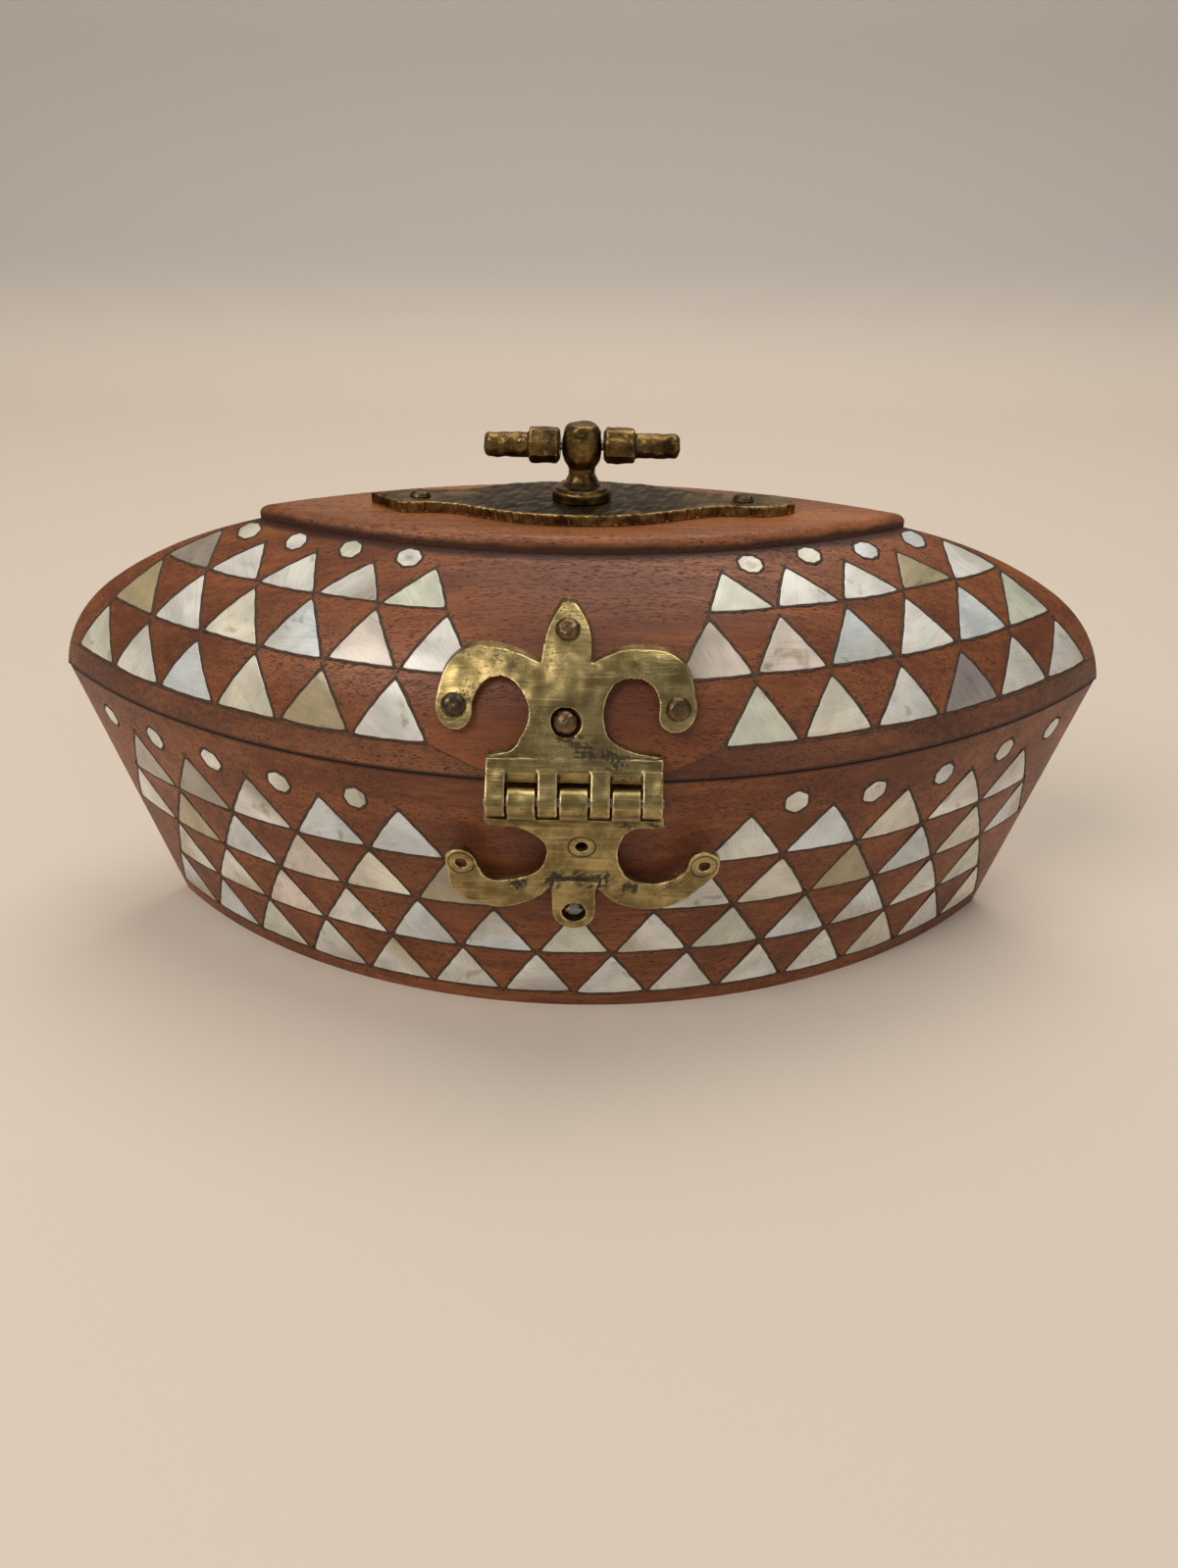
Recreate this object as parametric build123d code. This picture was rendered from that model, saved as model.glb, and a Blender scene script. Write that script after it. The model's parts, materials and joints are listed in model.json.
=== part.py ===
from build123d import *
from math import acos, asin, atan2, cos, degrees, radians, sin, sqrt
import os

# A pointed oval wooden box with a domed lid, inlaid with rows of mother-of-pearl triangles.
# A brass hasp hangs at the front, a brass hinge sits at the back and a brass bar tops the lid.
# Millimetres. +X runs along the box, the front is -Y and +Z is up.
# The origin is the centre of the underside.

# Outline of the base in plan: two arcs that meet in a point at each end
seam_half_length = 140.0
seam_half_depth = 63.3
foot_half_length = 118.3
foot_half_depth = 53.5
base_height = 71.7
wall = 8.0
bottom_thickness = 4.2
tip_rounding = 2.5

# Lid section, measured from its lower edge: how far in and how far up
seam_gap = 0.3
rim_lean = 6.8
shoulder_in = 12.3
shoulder_up = 24.7
step_in = 38.1
step_up = 41.3
lid_wall = 8.0
ledge_drop = 4.0
ledge_width = 6.0

# Raised top board of the lid
plateau_rise = 3.8
plateau_round = 2.3
board_joint = 0.15

# Darker strip let into the lid's lower edge
strip_height = 6.7
strip_thickness = 2.5
strip_gap_low = 17.0
strip_gap_high = 33.0

# Mother-of-pearl inlay, with a line of dark mastic round each piece
pearl_thickness = 1.8
mastic = 0.35
pearl_spacing = 1.8
roundel_diameter = 5.8
roundel_sides = 8

# Rows on the base: how many triangles would span the whole arc, and the rows' places
base_places = 14.5
base_first_row = 4.9
base_row_step = 14.1
base_triangle_height = 12.9
base_row_places = [(0.5, 6.5), (0.0, 6.0), (1.5, 6.5), (2.0, 6.0)]
base_roundel_places = (2.5, 6.5)
base_roundel_rise = 15.1

# Rows on the lid: distances along its curved section, and places counted in triangles
lid_pitch = 6.0
lid_row_starts = [7.7, 23.8, 40.2]
lid_row_heights = [13.5, 14.2, 11.3]
lid_row_leans = [0.0, 0.0, 2.4]
lid_row_places = [(2.25, 7.25), (1.75, 6.75), (2.25, 6.25)]
lid_roundel_places = (2.6, 5.6)
lid_roundel_start = 54.4

# Nails that hold the bottom board to the walls
brad_radius = 0.9
brad_head_radius = 1.8
brad_length = 16.0
brad_head_height = 1.2
brad_inset_share = 0.6
brad_turns = [-38.0, -24.0, -8.0, 8.0, 24.0, 38.0]
fit_clearance = 0.05

# Hinge barrels: four knuckles on the lid leaf and three on the lower leaf
barrel_radius = 3.5
barrel_stand_off = 0.4
barrel_drop = 2.7
lid_knuckle = 4.6
base_knuckle = 6.6
knuckle_gap = 0.35
pin_radius = 1.25
pin_overhang = 0.6
running_clearance = 0.06

# Leaves of the hasp and the hinge
leaf_thickness = 2.2
leaf_bed = 0.05
slot_clearance = 0.5
leaf_foot_height = 2.6
hanging_stand_off = 1.9
nail_hole_radius = 1.4
leaf_centre_hole_radius = 3.3
peg_hole_radius = 2.9
tongue_raise = 1.0

# Lid leaf outline, right half: sideways and along the lid's section from its lower edge
lid_leaf_shoulder = 6.8
lid_leaf_nails = [(0.0, 35.1), (0.0, 13.9), (25.2, 16.5), (-25.2, 16.5)]
lid_leaf_arcs = [
    [(0.0, 47.2), (3.7, 40.8), (5.6, 33.0)],
    [(5.6, 33.0), (5.8, 31.0), (5.7, 28.8)],
    [(5.7, 28.8), (11.2, 31.7), (18.0, 32.4)],
    [(18.0, 32.4), (26.2, 28.7), (29.4, 20.0)],
    [(29.4, 20.0), (28.9, 14.4), (25.2, 12.3)],
    [(25.2, 12.3), (22.1, 13.7), (21.1, 17.2)],
    [(21.1, 17.2), (19.9, 22.4), (15.5, 24.9)],
    [(15.5, 24.9), (10.3, 22.4), (8.4, 17.0)],
    [(8.4, 17.0), (10.4, 11.0), (15.5, 7.6)],
]

# Hanging leaf outline, right half: sideways and down from the hinge pin
hanging_half_width = 20.8
hanging_top = 4.3
hanging_shoulder = 7.2
hanging_tongue_half = 5.2
hanging_nails = [(0.0, 13.5), (28.5, 18.6), (-28.5, 18.6)]
hanging_peg_at = 33.0
hanging_arcs = [
    [(16.5, 7.6), (10.4, 10.0), (8.3, 15.5)],
    [(8.3, 15.5), (10.8, 21.6), (17.0, 24.1)],
    [(17.0, 24.1), (22.4, 22.4), (24.8, 18.2)],
    [(24.8, 18.2), (28.3, 14.6), (32.3, 18.6)],
    [(32.3, 18.6), (28.0, 28.3), (17.5, 32.3)],
    [(17.5, 32.3), (10.5, 30.6), (5.2, 25.6)],
]
tongue_start = 23.5

# Dome-headed nails
nail_head_radius = 3.0
nail_head_height = 1.6
nail_shank_radius = 1.0
nail_shank_length = 6.5
centre_nail_head_radius = 2.7
centre_nail_head_height = 2.7
worn_nail_head_radius = 2.4

# Iron peg in the front wall
peg_radius = 2.3
peg_depth = 6.0
peg_gap = 0.3

# Handle: plate, post and turning bar
plate_half_length = 54.0
plate_half_depth = 15.6
plate_thickness = 2.8
plate_neck_at = 36.0
plate_neck_half_depth = 5.7
plate_end_at = 45.0
plate_end_half_depth = 5.9
plate_blunt_half_depth = 1.8
plate_nail_at = 41.0
plate_nail_grip = 5.5
plate_nail_head_radius = 2.8
plate_nail_head_height = 1.4
flange_radius = 7.45
flange_thickness = 3.3
neck_radius = 4.15
ball_radius = 5.05
ball_height = 12.2
ball_centre_rise = 13.2
tail_radius = 2.4
tail_head_radius = 3.4
tail_head_height = 1.2
washer_radius = 6.0
washer_thickness = 1.2
bar_half_length = 24.4
bar_radius = 3.1
collar_length = 7.6
collar_across = 8.4
collar_gap = 0.6
bar_pin_radius = 1.25
bar_pin_grip = 5.0

far = 400.0


def arc_of(half_length, half_depth):
    """Radius of the arc through both tips, and its centre's distance behind the tips' line."""
    radius = (half_length**2 + half_depth**2) / (2 * half_depth)
    return radius, radius - half_depth


def oval(half_length, half_depth, inset, height):
    """Face of the pointed oval at a height, with both arcs moved inwards."""
    radius, centre = arc_of(half_length, half_depth)
    reach = radius - inset
    tip = sqrt(reach**2 - centre**2)
    depth = reach - centre
    front = ThreePointArc((-tip, 0), (0, -depth), (tip, 0))
    back = ThreePointArc((tip, 0), (0, depth), (-tip, 0))
    return Pos(0, 0, height) * make_face(front + back)


def base_oval(height, inset):
    """Face of the base's outline at a height."""
    share = height / base_height
    half_length = foot_half_length + share * (seam_half_length - foot_half_length)
    half_depth = foot_half_depth + share * (seam_half_depth - foot_half_depth)
    return oval(half_length, half_depth, inset, height)


def base_skin(inset):
    """Solid inside the base's outer surface moved inwards by inset."""
    return loft([base_oval(0, inset), base_oval(base_height, inset)], ruled=True)


def slab(low, high):
    """Everything between two heights."""
    return Pos(0, 0, (low + high) / 2) * Box(far, far, high - low)


def front_half():
    """Everything in front of the tips' line."""
    return Pos(0, -far / 2, 0) * Box(far, far, 2 * far)


def to_back(shape):
    """The same piece on the back of the box."""
    return mirror(shape, Plane.XZ)


def group(shapes):
    """All the solids of several shapes, as one node."""
    return Compound([solid for shape in shapes for solid in shape.solids()])


def nail(head_radius, head_height, shank_length):
    """A dome-headed nail along -Z with its head's underside at the origin."""
    crown = head_radius * 0.25
    edges = Polyline(
        (crown, head_height),
        (0, head_height),
        (0, -shank_length),
        (nail_shank_radius, -shank_length),
        (nail_shank_radius, 0),
        (head_radius, 0),
    )
    edges = edges + ThreePointArc(
        (head_radius, 0), (head_radius * 0.8, head_height * 0.68), (crown, head_height)
    )
    return revolve(Plane.XZ * make_face(edges), Axis.Z)


# Lid section, as points (radius from the arc's centre line, height)
lid_rim = base_height + seam_gap
seam_radius, seam_centre = arc_of(seam_half_length, seam_half_depth)


def arc_centre(start, direction, end):
    """Centre and radius of the arc that leaves start along direction and ends at end."""
    normal = Vector(-direction.Y, direction.X)
    chord = end - start
    radius = chord.dot(chord) / (2 * chord.dot(normal))
    return start + normal * radius, radius


def turn_of(point, centre):
    """Angle of a point seen from a centre, in radians."""
    return atan2(point.Y - centre.Y, point.X - centre.X)


rim_point = Vector(seam_radius, lid_rim)
shoulder_point = Vector(seam_radius - shoulder_in, lid_rim + shoulder_up)
step_point = Vector(seam_radius - step_in, lid_rim + step_up)
rim_direction = Vector(-sin(radians(rim_lean)), cos(radians(rim_lean)))
shoulder_centre, shoulder_radius = arc_centre(rim_point, rim_direction, shoulder_point)
shoulder_out = (shoulder_point - shoulder_centre).normalized()
crown_centre, crown_radius = arc_centre(
    shoulder_point, Vector(-shoulder_out.Y, shoulder_out.X), step_point
)
rim_turn = turn_of(rim_point, shoulder_centre)
shoulder_turn = turn_of(shoulder_point, shoulder_centre)
step_turn = turn_of(step_point, crown_centre)
shoulder_run = shoulder_radius * (shoulder_turn - rim_turn)


def lid_section(run, out=0.0):
    """Point and outward direction of the lid's section, a distance along it from the rim."""
    if run < shoulder_run:
        centre = shoulder_centre
        radius = shoulder_radius
        turn = rim_turn + run / shoulder_radius
    else:
        centre = crown_centre
        radius = crown_radius
        turn = shoulder_turn + (run - shoulder_run) / crown_radius
    outward = Vector(cos(turn), sin(turn))
    return centre + outward * (radius + out), outward


def section_arc(first, last, out):
    """Arc of the lid's section between two distances, moved outwards."""
    start = lid_section(first, out)[0]
    middle = lid_section((first + last) / 2, out)[0]
    end = lid_section(last, out)[0]
    return ThreePointArc((start.X, start.Y), (middle.X, middle.Y), (end.X, end.Y))


def section_face(edges):
    """Closed section face, turned round the centre line of the front arc."""
    plane = Plane(origin=(0, seam_centre, 0), x_dir=(0, 1, 0), z_dir=(1, 0, 0))
    axis = Axis((0, seam_centre, 0), (0, 0, 1))
    return revolve(plane * make_face(edges), axis, 360)


step_run = shoulder_run + crown_radius * (step_turn - shoulder_turn)


def lid_spot(turn, run):
    """Frame on the front of the lid: X along the rows, Y up the section, Z outwards."""
    point, outward = lid_section(run)
    sideways = radians(turn)
    place = (point.X * sin(sideways), seam_centre - point.X * cos(sideways), point.Y)
    normal = (outward.X * sin(sideways), -outward.X * cos(sideways), outward.Y)
    return Plane(origin=place, x_dir=(cos(sideways), sin(sideways), 0), z_dir=normal)


def base_spot(turn, height):
    """Frame on the front of the base: X along the rows, Y up the wall, Z outwards."""
    seam_turn = degrees(atan2(seam_half_length, seam_centre))
    foot_radius, foot_centre = arc_of(foot_half_length, foot_half_depth)
    foot_turn = degrees(atan2(foot_half_length, foot_centre))
    top_angle = radians(turn)
    low_angle = radians(turn * foot_turn / seam_turn)
    top = Vector(seam_radius * sin(top_angle), seam_centre - seam_radius * cos(top_angle), base_height)
    low = Vector(foot_radius * sin(low_angle), foot_centre - foot_radius * cos(low_angle), 0)
    share = height / base_height
    sideways = Vector(cos(top_angle), sin(top_angle), 0)
    normal = sideways.cross(top - low)
    return Plane(origin=low + (top - low) * share, x_dir=sideways, z_dir=normal)


def triangle(width, height, lean):
    """Flat triangle round its own middle, its point leaning sideways."""
    low = -height / 3
    points = [(-width / 2, low), (width / 2, low), (lean, low + height)]
    return make_face(Polyline(*points, close=True))


def roundel():
    """Flat many-sided disc, filed by hand on the real box."""
    return RegularPolygon(roundel_diameter / 2, roundel_sides)


def sunk(face, plane, skin):
    """A piece of shell let into a skin, flush with it."""
    block = extrude(face, pearl_thickness * 2)
    return (plane * Pos(0, 0, -pearl_thickness) * block) & skin


def pocket(face, plane):
    """The recess for a piece of shell, with room for mastic."""
    wider = offset(face, mastic, kind=Kind.INTERSECTION)
    return plane * Pos(0, 0, -pearl_thickness) * extrude(wider, pearl_thickness * 3)


def both_sides(places):
    """Places from the first to the last on the right, and the same on the left."""
    first, last = places
    count = round(last - first) + 1
    right = [first + step for step in range(count)]
    left = [-place for place in right if place > 0]
    return sorted(left + right)


def base_triangles():
    """Faces and frames of the triangles on the front of the base."""
    pitch = 2 * degrees(atan2(seam_half_length, seam_centre)) / base_places
    spots = []
    for row, places in enumerate(base_row_places):
        foot = base_first_row + row * base_row_step
        share = foot / base_height
        radius = arc_of(
            foot_half_length + share * (seam_half_length - foot_half_length),
            foot_half_depth + share * (seam_half_depth - foot_half_depth),
        )[0]
        width = radians(pitch) * radius - pearl_spacing
        face = triangle(width, base_triangle_height, 0)
        for place in both_sides(places):
            middle = foot + base_triangle_height / 3
            spots.append((face, base_spot(place * pitch, middle)))
    return spots


def base_roundels():
    """Faces and frames of the roundels on the front of the base."""
    pitch = 2 * degrees(atan2(seam_half_length, seam_centre)) / base_places
    top_row = base_first_row + (len(base_row_places) - 1) * base_row_step
    height = top_row + base_roundel_rise
    places = both_sides(base_roundel_places)
    return [(roundel(), base_spot(place * pitch, height)) for place in places]


def lid_triangles():
    """Faces and frames of the triangles on the front of the lid."""
    spots = []
    for row, places in enumerate(lid_row_places):
        start = lid_row_starts[row]
        height = lid_row_heights[row]
        radius = lid_section(start)[0].X
        width = radians(lid_pitch) * radius - pearl_spacing
        for place in both_sides(places):
            lean = -lid_row_leans[row] if place > 0 else lid_row_leans[row]
            face = triangle(width, height, lean)
            spots.append((face, lid_spot(place * lid_pitch, start + height / 3)))
    return spots


def lid_roundels():
    """Faces and frames of the roundels on the front of the lid."""
    places = both_sides(lid_roundel_places)
    return [(roundel(), lid_spot(place * lid_pitch, lid_roundel_start)) for place in places]


def shells(spots, skin):
    """All the shell pieces of one panel."""
    return group([sunk(face, plane, skin) for face, plane in spots])


def pockets(spots):
    """All the recesses of one panel."""
    return [pocket(face, plane) for face, plane in spots]


# Place of the front hinge pin; the rear one is its mirror image
pin_y = -(seam_half_depth + barrel_stand_off + barrel_radius)
pin_z = base_height - barrel_drop
barrel_back = pin_y + barrel_radius
knuckle_pitch = (lid_knuckle + base_knuckle) / 2 + knuckle_gap
barrel_half_length = 3 * knuckle_pitch + lid_knuckle / 2
wall_lean = atan2(seam_half_depth - foot_half_depth, base_height)
pin_to_wall = (-pin_y - seam_half_depth) * cos(wall_lean) + barrel_drop * sin(wall_lean)


def wall_height(down):
    """Height on the wall that lies square behind a point of the hanging leaf."""
    return pin_z - down * cos(wall_lean) + pin_to_wall * sin(wall_lean)


def on_lid(x, run):
    """Frame on the lid's front at a sideways distance and a distance up the section."""
    radius = lid_section(run)[0].X
    return lid_spot(degrees(atan2(x, sqrt(radius**2 - x**2))), run)


def on_wall(x, down):
    """Frame on the base's front wall behind a point of the hanging leaf."""
    return base_spot(degrees(atan2(x, sqrt(seam_radius**2 - x**2))), wall_height(down))


def barrel(x, width, radius):
    """Cylinder along the hinge pin."""
    return Pos(x, pin_y, pin_z) * Rot(0, 90, 0) * Cylinder(radius, width)


def mirrored_face(segments, place):
    """Face inside a half outline and its mirror image. Lines have two points, arcs three."""
    edges = Curve()
    for side in (1, -1):
        for segment in segments:
            points = [place(side * x, along) for x, along in segment]
            edges = edges + (Line(*points) if len(points) == 2 else ThreePointArc(*points))
    return make_face(edges)


def lid_leaf_low():
    """Height of the lid leaf's lower edge, above the other leaf's knuckles."""
    return pin_z + barrel_radius + slot_clearance


def lid_leaf(centre_hole):
    """Leaf on the lid: a plate bent over the dome, a flat foot, and four knuckles."""
    low = lid_leaf_low()
    shoulder = (barrel_half_length, lid_leaf_shoulder)
    foot = (barrel_half_length, low - lid_rim)
    segments = lid_leaf_arcs + [[(15.5, 7.6), shoulder], [shoulder, foot], [foot, (0, foot[1])]]
    face = mirrored_face(segments, lambda x, run: (x, lid_section(run)[0].Y))
    bed = lid_skin(leaf_bed)
    leaf = (lid_skin(leaf_bed + leaf_thickness) - bed) & front_prism(face)
    foot_block = Box(2 * barrel_half_length, leaf_thickness * 2, leaf_foot_height)
    foot_y = barrel_back
    leaf = leaf + (Pos(0, foot_y, low + leaf_foot_height / 2) * foot_block - bed)
    web_top = low + leaf_foot_height / 2
    for step in (-3, -1, 1, 3):
        x = step * knuckle_pitch
        web = Box(lid_knuckle, leaf_thickness, web_top - pin_z)
        leaf = leaf + Pos(x, barrel_back - leaf_thickness / 2, (web_top + pin_z) / 2) * web
        leaf = leaf + barrel(x, lid_knuckle, barrel_radius)
    leaf = leaf - barrel(0, far, pin_radius + fit_clearance / 2)
    for x, run in lid_leaf_nails:
        hole = centre_hole if (x, run) == lid_leaf_nails[1] else nail_hole_radius
        leaf = leaf - on_lid(x, run) * Cylinder(hole, leaf_thickness * 4)
    return leaf


def front_prism(face):
    """A face drawn as seen from the front, carried through the whole front."""
    return extrude(Plane.XZ * face, far, dir=(0, -1, 0))


def lower_segments():
    """Half outline of the lower leaf: sideways, and down from the pin."""
    shoulder_high = (hanging_half_width, hanging_top)
    shoulder_low = (hanging_half_width, hanging_shoulder)
    tongue_end = hanging_peg_at + hanging_tongue_half
    turn = hanging_tongue_half * sin(radians(45))
    return hanging_arcs + [
        [(0, hanging_top), shoulder_high],
        [shoulder_high, shoulder_low],
        [shoulder_low, (16.5, 7.6)],
        [(hanging_tongue_half, 25.6), (hanging_tongue_half, hanging_peg_at)],
        [
            (hanging_tongue_half, hanging_peg_at),
            (turn, hanging_peg_at + turn),
            (0, tongue_end),
        ],
    ]


def lower_knuckles(leaf, web_back, web_length):
    """A lower leaf with its three webs and knuckles, bored for the pin."""
    for step in (-2, 0, 2):
        x = step * knuckle_pitch
        web = Box(base_knuckle, leaf_thickness, web_length)
        leaf = leaf + web_back * Pos(x, -web_length / 2, leaf_thickness / 2) * Rot(90, 0, 0) * web
        leaf = leaf + barrel(x, base_knuckle, barrel_radius)
    return leaf - barrel(0, far, pin_radius + running_clearance)


def hanging_leaf():
    """The swinging hasp: a flat leaf that hangs from the lid's knuckles along the wall."""
    up = (0, -sin(wall_lean), cos(wall_lean))
    outward = Vector(1, 0, 0).cross(Vector(*up))
    frame = Plane(origin=(0, pin_y, pin_z), x_dir=(1, 0, 0), z_dir=outward)
    back = hanging_stand_off - pin_to_wall
    face = mirrored_face(lower_segments(), lambda x, down: (x, -down))
    leaf = Pos(0, 0, back) * extrude(face, leaf_thickness)
    tongue_height = hanging_peg_at - tongue_start
    tongue = Pos(0, -hanging_peg_at + tongue_height / 2, 0) * Rectangle(
        2 * hanging_tongue_half, tongue_height
    )
    tongue = tongue + Pos(0, -hanging_peg_at) * Circle(hanging_tongue_half)
    leaf = leaf + Pos(0, 0, back) * extrude(tongue, leaf_thickness + tongue_raise)
    for x, down in hanging_nails:
        leaf = leaf - Pos(x, -down, back) * Cylinder(nail_hole_radius, leaf_thickness * 4)
    leaf = leaf - Pos(0, -hanging_peg_at, back) * Cylinder(peg_hole_radius, leaf_thickness * 6)
    return lower_knuckles(frame * leaf, frame * Pos(0, 0, back), hanging_top + 1)


def fixed_leaf():
    """The rear hinge's lower leaf, drawn on the front wall: it lies on the wood."""
    face = mirrored_face(lower_segments(), lambda x, down: (x, wall_height(down)))
    bed = base_skin(-leaf_bed)
    leaf = (base_skin(-leaf_bed - leaf_thickness) - bed) & front_prism(face)
    top = wall_height(hanging_top)
    block = Box(2 * hanging_half_width, leaf_thickness * 3, leaf_foot_height)
    leaf = leaf + (Pos(0, barrel_back + leaf_thickness / 2, top - leaf_foot_height / 2) * block - bed)
    web_frame = Plane(origin=(0, barrel_back, pin_z), x_dir=(1, 0, 0), z_dir=(0, -1, 0))
    leaf = lower_knuckles(leaf, web_frame, pin_z - top + leaf_foot_height / 2)
    for x, down in fixed_leaf_nails():
        leaf = leaf - on_wall(x, down) * Cylinder(nail_hole_radius, leaf_thickness * 4)
    return leaf


def fixed_leaf_nails():
    """Nail places of the rear lower leaf."""
    return hanging_nails + [(0.0, hanging_peg_at)]


def cut_each(shape, holes):
    """The shape with the holes taken out one after another."""
    for hole in holes:
        shape = shape - hole
    return shape


def hinge_pin():
    """Pin through all seven knuckles, with slightly domed ends."""
    length = 2 * (barrel_half_length + pin_overhang)
    pin = barrel(0, length, pin_radius)
    return fillet(pin.edges().filter_by(GeomType.CIRCLE), pin_radius * 0.4)


def leaf_nail(plane, lift, head_radius, head_height):
    """A nail driven square to the wood, its head's underside lifted off the surface."""
    return plane * Pos(0, 0, lift) * nail(head_radius, head_height, nail_shank_length + lift)


def nail_holes(planes):
    """Holes that the nails leave in the wood."""
    depth = nail_shank_length + fit_clearance
    radius = nail_shank_radius + fit_clearance
    return [plane * Pos(0, 0, -depth / 2) * Rot(0, 0, 30) * Cylinder(radius, depth) for plane in planes]


def lid_leaf_planes():
    """Frames of the lid leaf's nails."""
    return [on_lid(x, run) for x, run in lid_leaf_nails]


def hasp_nails():
    """Nails of the hasp's upper leaf: one sits inside a wide hole, one is worn small."""
    top, centre, right, left = lid_leaf_planes()
    lift = leaf_bed + leaf_thickness
    return group([
        leaf_nail(top, lift, nail_head_radius, nail_head_height),
        leaf_nail(centre, leaf_bed, centre_nail_head_radius, centre_nail_head_height),
        leaf_nail(right, lift, nail_head_radius, nail_head_height),
        leaf_nail(left, lift, worn_nail_head_radius, nail_head_height),
    ])


def peg_plane():
    """Frame of the iron peg on the front wall."""
    return on_wall(0, hanging_peg_at)


def peg():
    """Iron peg that stands behind the hasp's lower hole."""
    length = peg_depth + hanging_stand_off - peg_gap
    shape = peg_plane() * Pos(0, 0, length / 2 - peg_depth) * Cylinder(peg_radius, length)
    return shape


def brads(clearance):
    """Nails driven up through the bottom board into both walls, with flush heads."""
    foot_radius, foot_centre = arc_of(foot_half_length, foot_half_depth)
    reach = foot_radius - wall * brad_inset_share
    pieces = []
    for turn in brad_turns:
        x = reach * sin(radians(turn))
        y = foot_centre - reach * cos(radians(turn))
        head = Cone(brad_head_radius + clearance, brad_radius + clearance, brad_head_height)
        length = brad_length + clearance
        shank = Pos(0, 0, length / 2) * Cylinder(brad_radius + clearance, length)
        for side in (1, -1):
            pieces.append(Pos(x, side * y, 0) * (Pos(0, 0, brad_head_height / 2) * head + shank))
    return pieces


def make_base():
    """Bottom board, two walls, inlay, nails and peg."""
    skin = base_skin(0)
    tips = skin.edges().filter_by(lambda edge: abs(edge.center().Y) < tip_rounding / 10)
    skin = fillet(tips, tip_rounding)
    front_skin = skin & front_half()
    inner = loft([base_oval(bottom_thickness, wall), base_oval(base_height, wall)], ruled=True)
    plain = (front_skin & slab(bottom_thickness, base_height)) - inner
    triangles = base_triangles()
    roundels = base_roundels()
    holes = brads(fit_clearance)
    inlaid = plain - pockets(triangles) - pockets(roundels) - holes
    peg_hole = peg_plane() * Pos(0, 0, -peg_depth / 2) * Cylinder(
        peg_radius + fit_clearance, peg_depth
    )
    leaf_holes = nail_holes([on_wall(x, down) for x, down in fixed_leaf_nails()])
    triangle_shells = shells(triangles, front_skin)
    roundel_shells = shells(roundels, front_skin)
    return {
        "bottom_board": (skin & slab(0, bottom_thickness)) - holes,
        "base_front_wall": inlaid - peg_hole,
        "base_back_wall": to_back(cut_each(inlaid, leaf_holes)),
        "base_front_triangles": triangle_shells,
        "base_back_triangles": to_back(triangle_shells),
        "base_front_roundels": roundel_shells,
        "base_back_roundels": to_back(roundel_shells),
        "bottom_nails": group(brads(0)),
        "hasp_peg": peg(),
    }


def lid_skin(out=0.0):
    """Solid under the front of the lid's outer surface, moved outwards."""
    low = lid_section(0, out)[0]
    high = lid_section(step_run, out)[0]
    edges = section_arc(0, shoulder_run, out) + section_arc(shoulder_run, step_run, out)
    edges = edges + Polyline((high.X, high.Y), (0, high.Y), (0, low.Y), (low.X, low.Y))
    return section_face(edges) & front_half()


def section_point(centre, radius, turn):
    """Point on a circle of the lid's section."""
    return (centre.X + radius * cos(turn), centre.Y + radius * sin(turn))


def lid_side():
    """The front side board of the lid, with the rebate for the top board."""
    step = step_point
    ledge = step.Y - ledge_drop
    ledge_end = step.X - ledge_width
    crown = crown_radius - lid_wall
    shoulder = shoulder_radius - lid_wall
    low_turn = asin((lid_rim - shoulder_centre.Y) / shoulder)
    high_turn = acos((ledge_end - crown_centre.X) / crown)
    inner_low = section_point(shoulder_centre, shoulder, low_turn)
    inner_low_middle = section_point(shoulder_centre, shoulder, (low_turn + shoulder_turn) / 2)
    inner_bend = section_point(crown_centre, crown, shoulder_turn)
    inner_high_middle = section_point(crown_centre, crown, (high_turn + shoulder_turn) / 2)
    inner_high = section_point(crown_centre, crown, high_turn)
    edges = section_arc(0, shoulder_run, 0) + section_arc(shoulder_run, step_run, 0)
    edges = edges + Polyline((step.X, step.Y), (step.X, ledge), (ledge_end, ledge), inner_high)
    edges = edges + ThreePointArc(inner_high, inner_high_middle, inner_bend)
    edges = edges + ThreePointArc(inner_bend, inner_low_middle, inner_low)
    edges = edges + Line(inner_low, (seam_radius, lid_rim))
    return section_face(edges) & front_half()


def rim_strips():
    """The two dark strips of the front, cut on a slant each side of the hasp."""
    high = lid_section(strip_height)[0]
    deep = lid_section(strip_height, -strip_thickness)[0]
    edges = section_arc(0, strip_height, 0) + Polyline(
        (high.X, high.Y),
        (deep.X, deep.Y),
        (seam_radius - strip_thickness, lid_rim),
        (seam_radius, lid_rim),
    )
    ring = section_face(edges) & front_half()
    slant = strip_gap_high - strip_gap_low
    bare = make_face(Polyline(
        (-strip_gap_low + slant, lid_rim - strip_height),
        (strip_gap_low - slant, lid_rim - strip_height),
        (strip_gap_high + slant, lid_rim + 2 * strip_height),
        (-strip_gap_high - slant, lid_rim + 2 * strip_height),
        close=True,
    ))
    return ring - front_prism(bare)


def top_board():
    """Raised board: two turned discs that overlap in a pointed oval."""
    reach = step_point.X - board_joint
    ledge = step_point.Y - ledge_drop
    top = step_point.Y + plateau_rise
    bend = top - plateau_round
    share = sin(radians(45))
    edges = Polyline((reach - plateau_round, top), (0, top), (0, ledge), (reach, ledge), (reach, bend))
    edges = edges + ThreePointArc(
        (reach, bend),
        (reach - plateau_round * (1 - share), bend + plateau_round * share),
        (reach - plateau_round, top),
    )
    disc = section_face(edges)
    return disc & to_back(disc)


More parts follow.
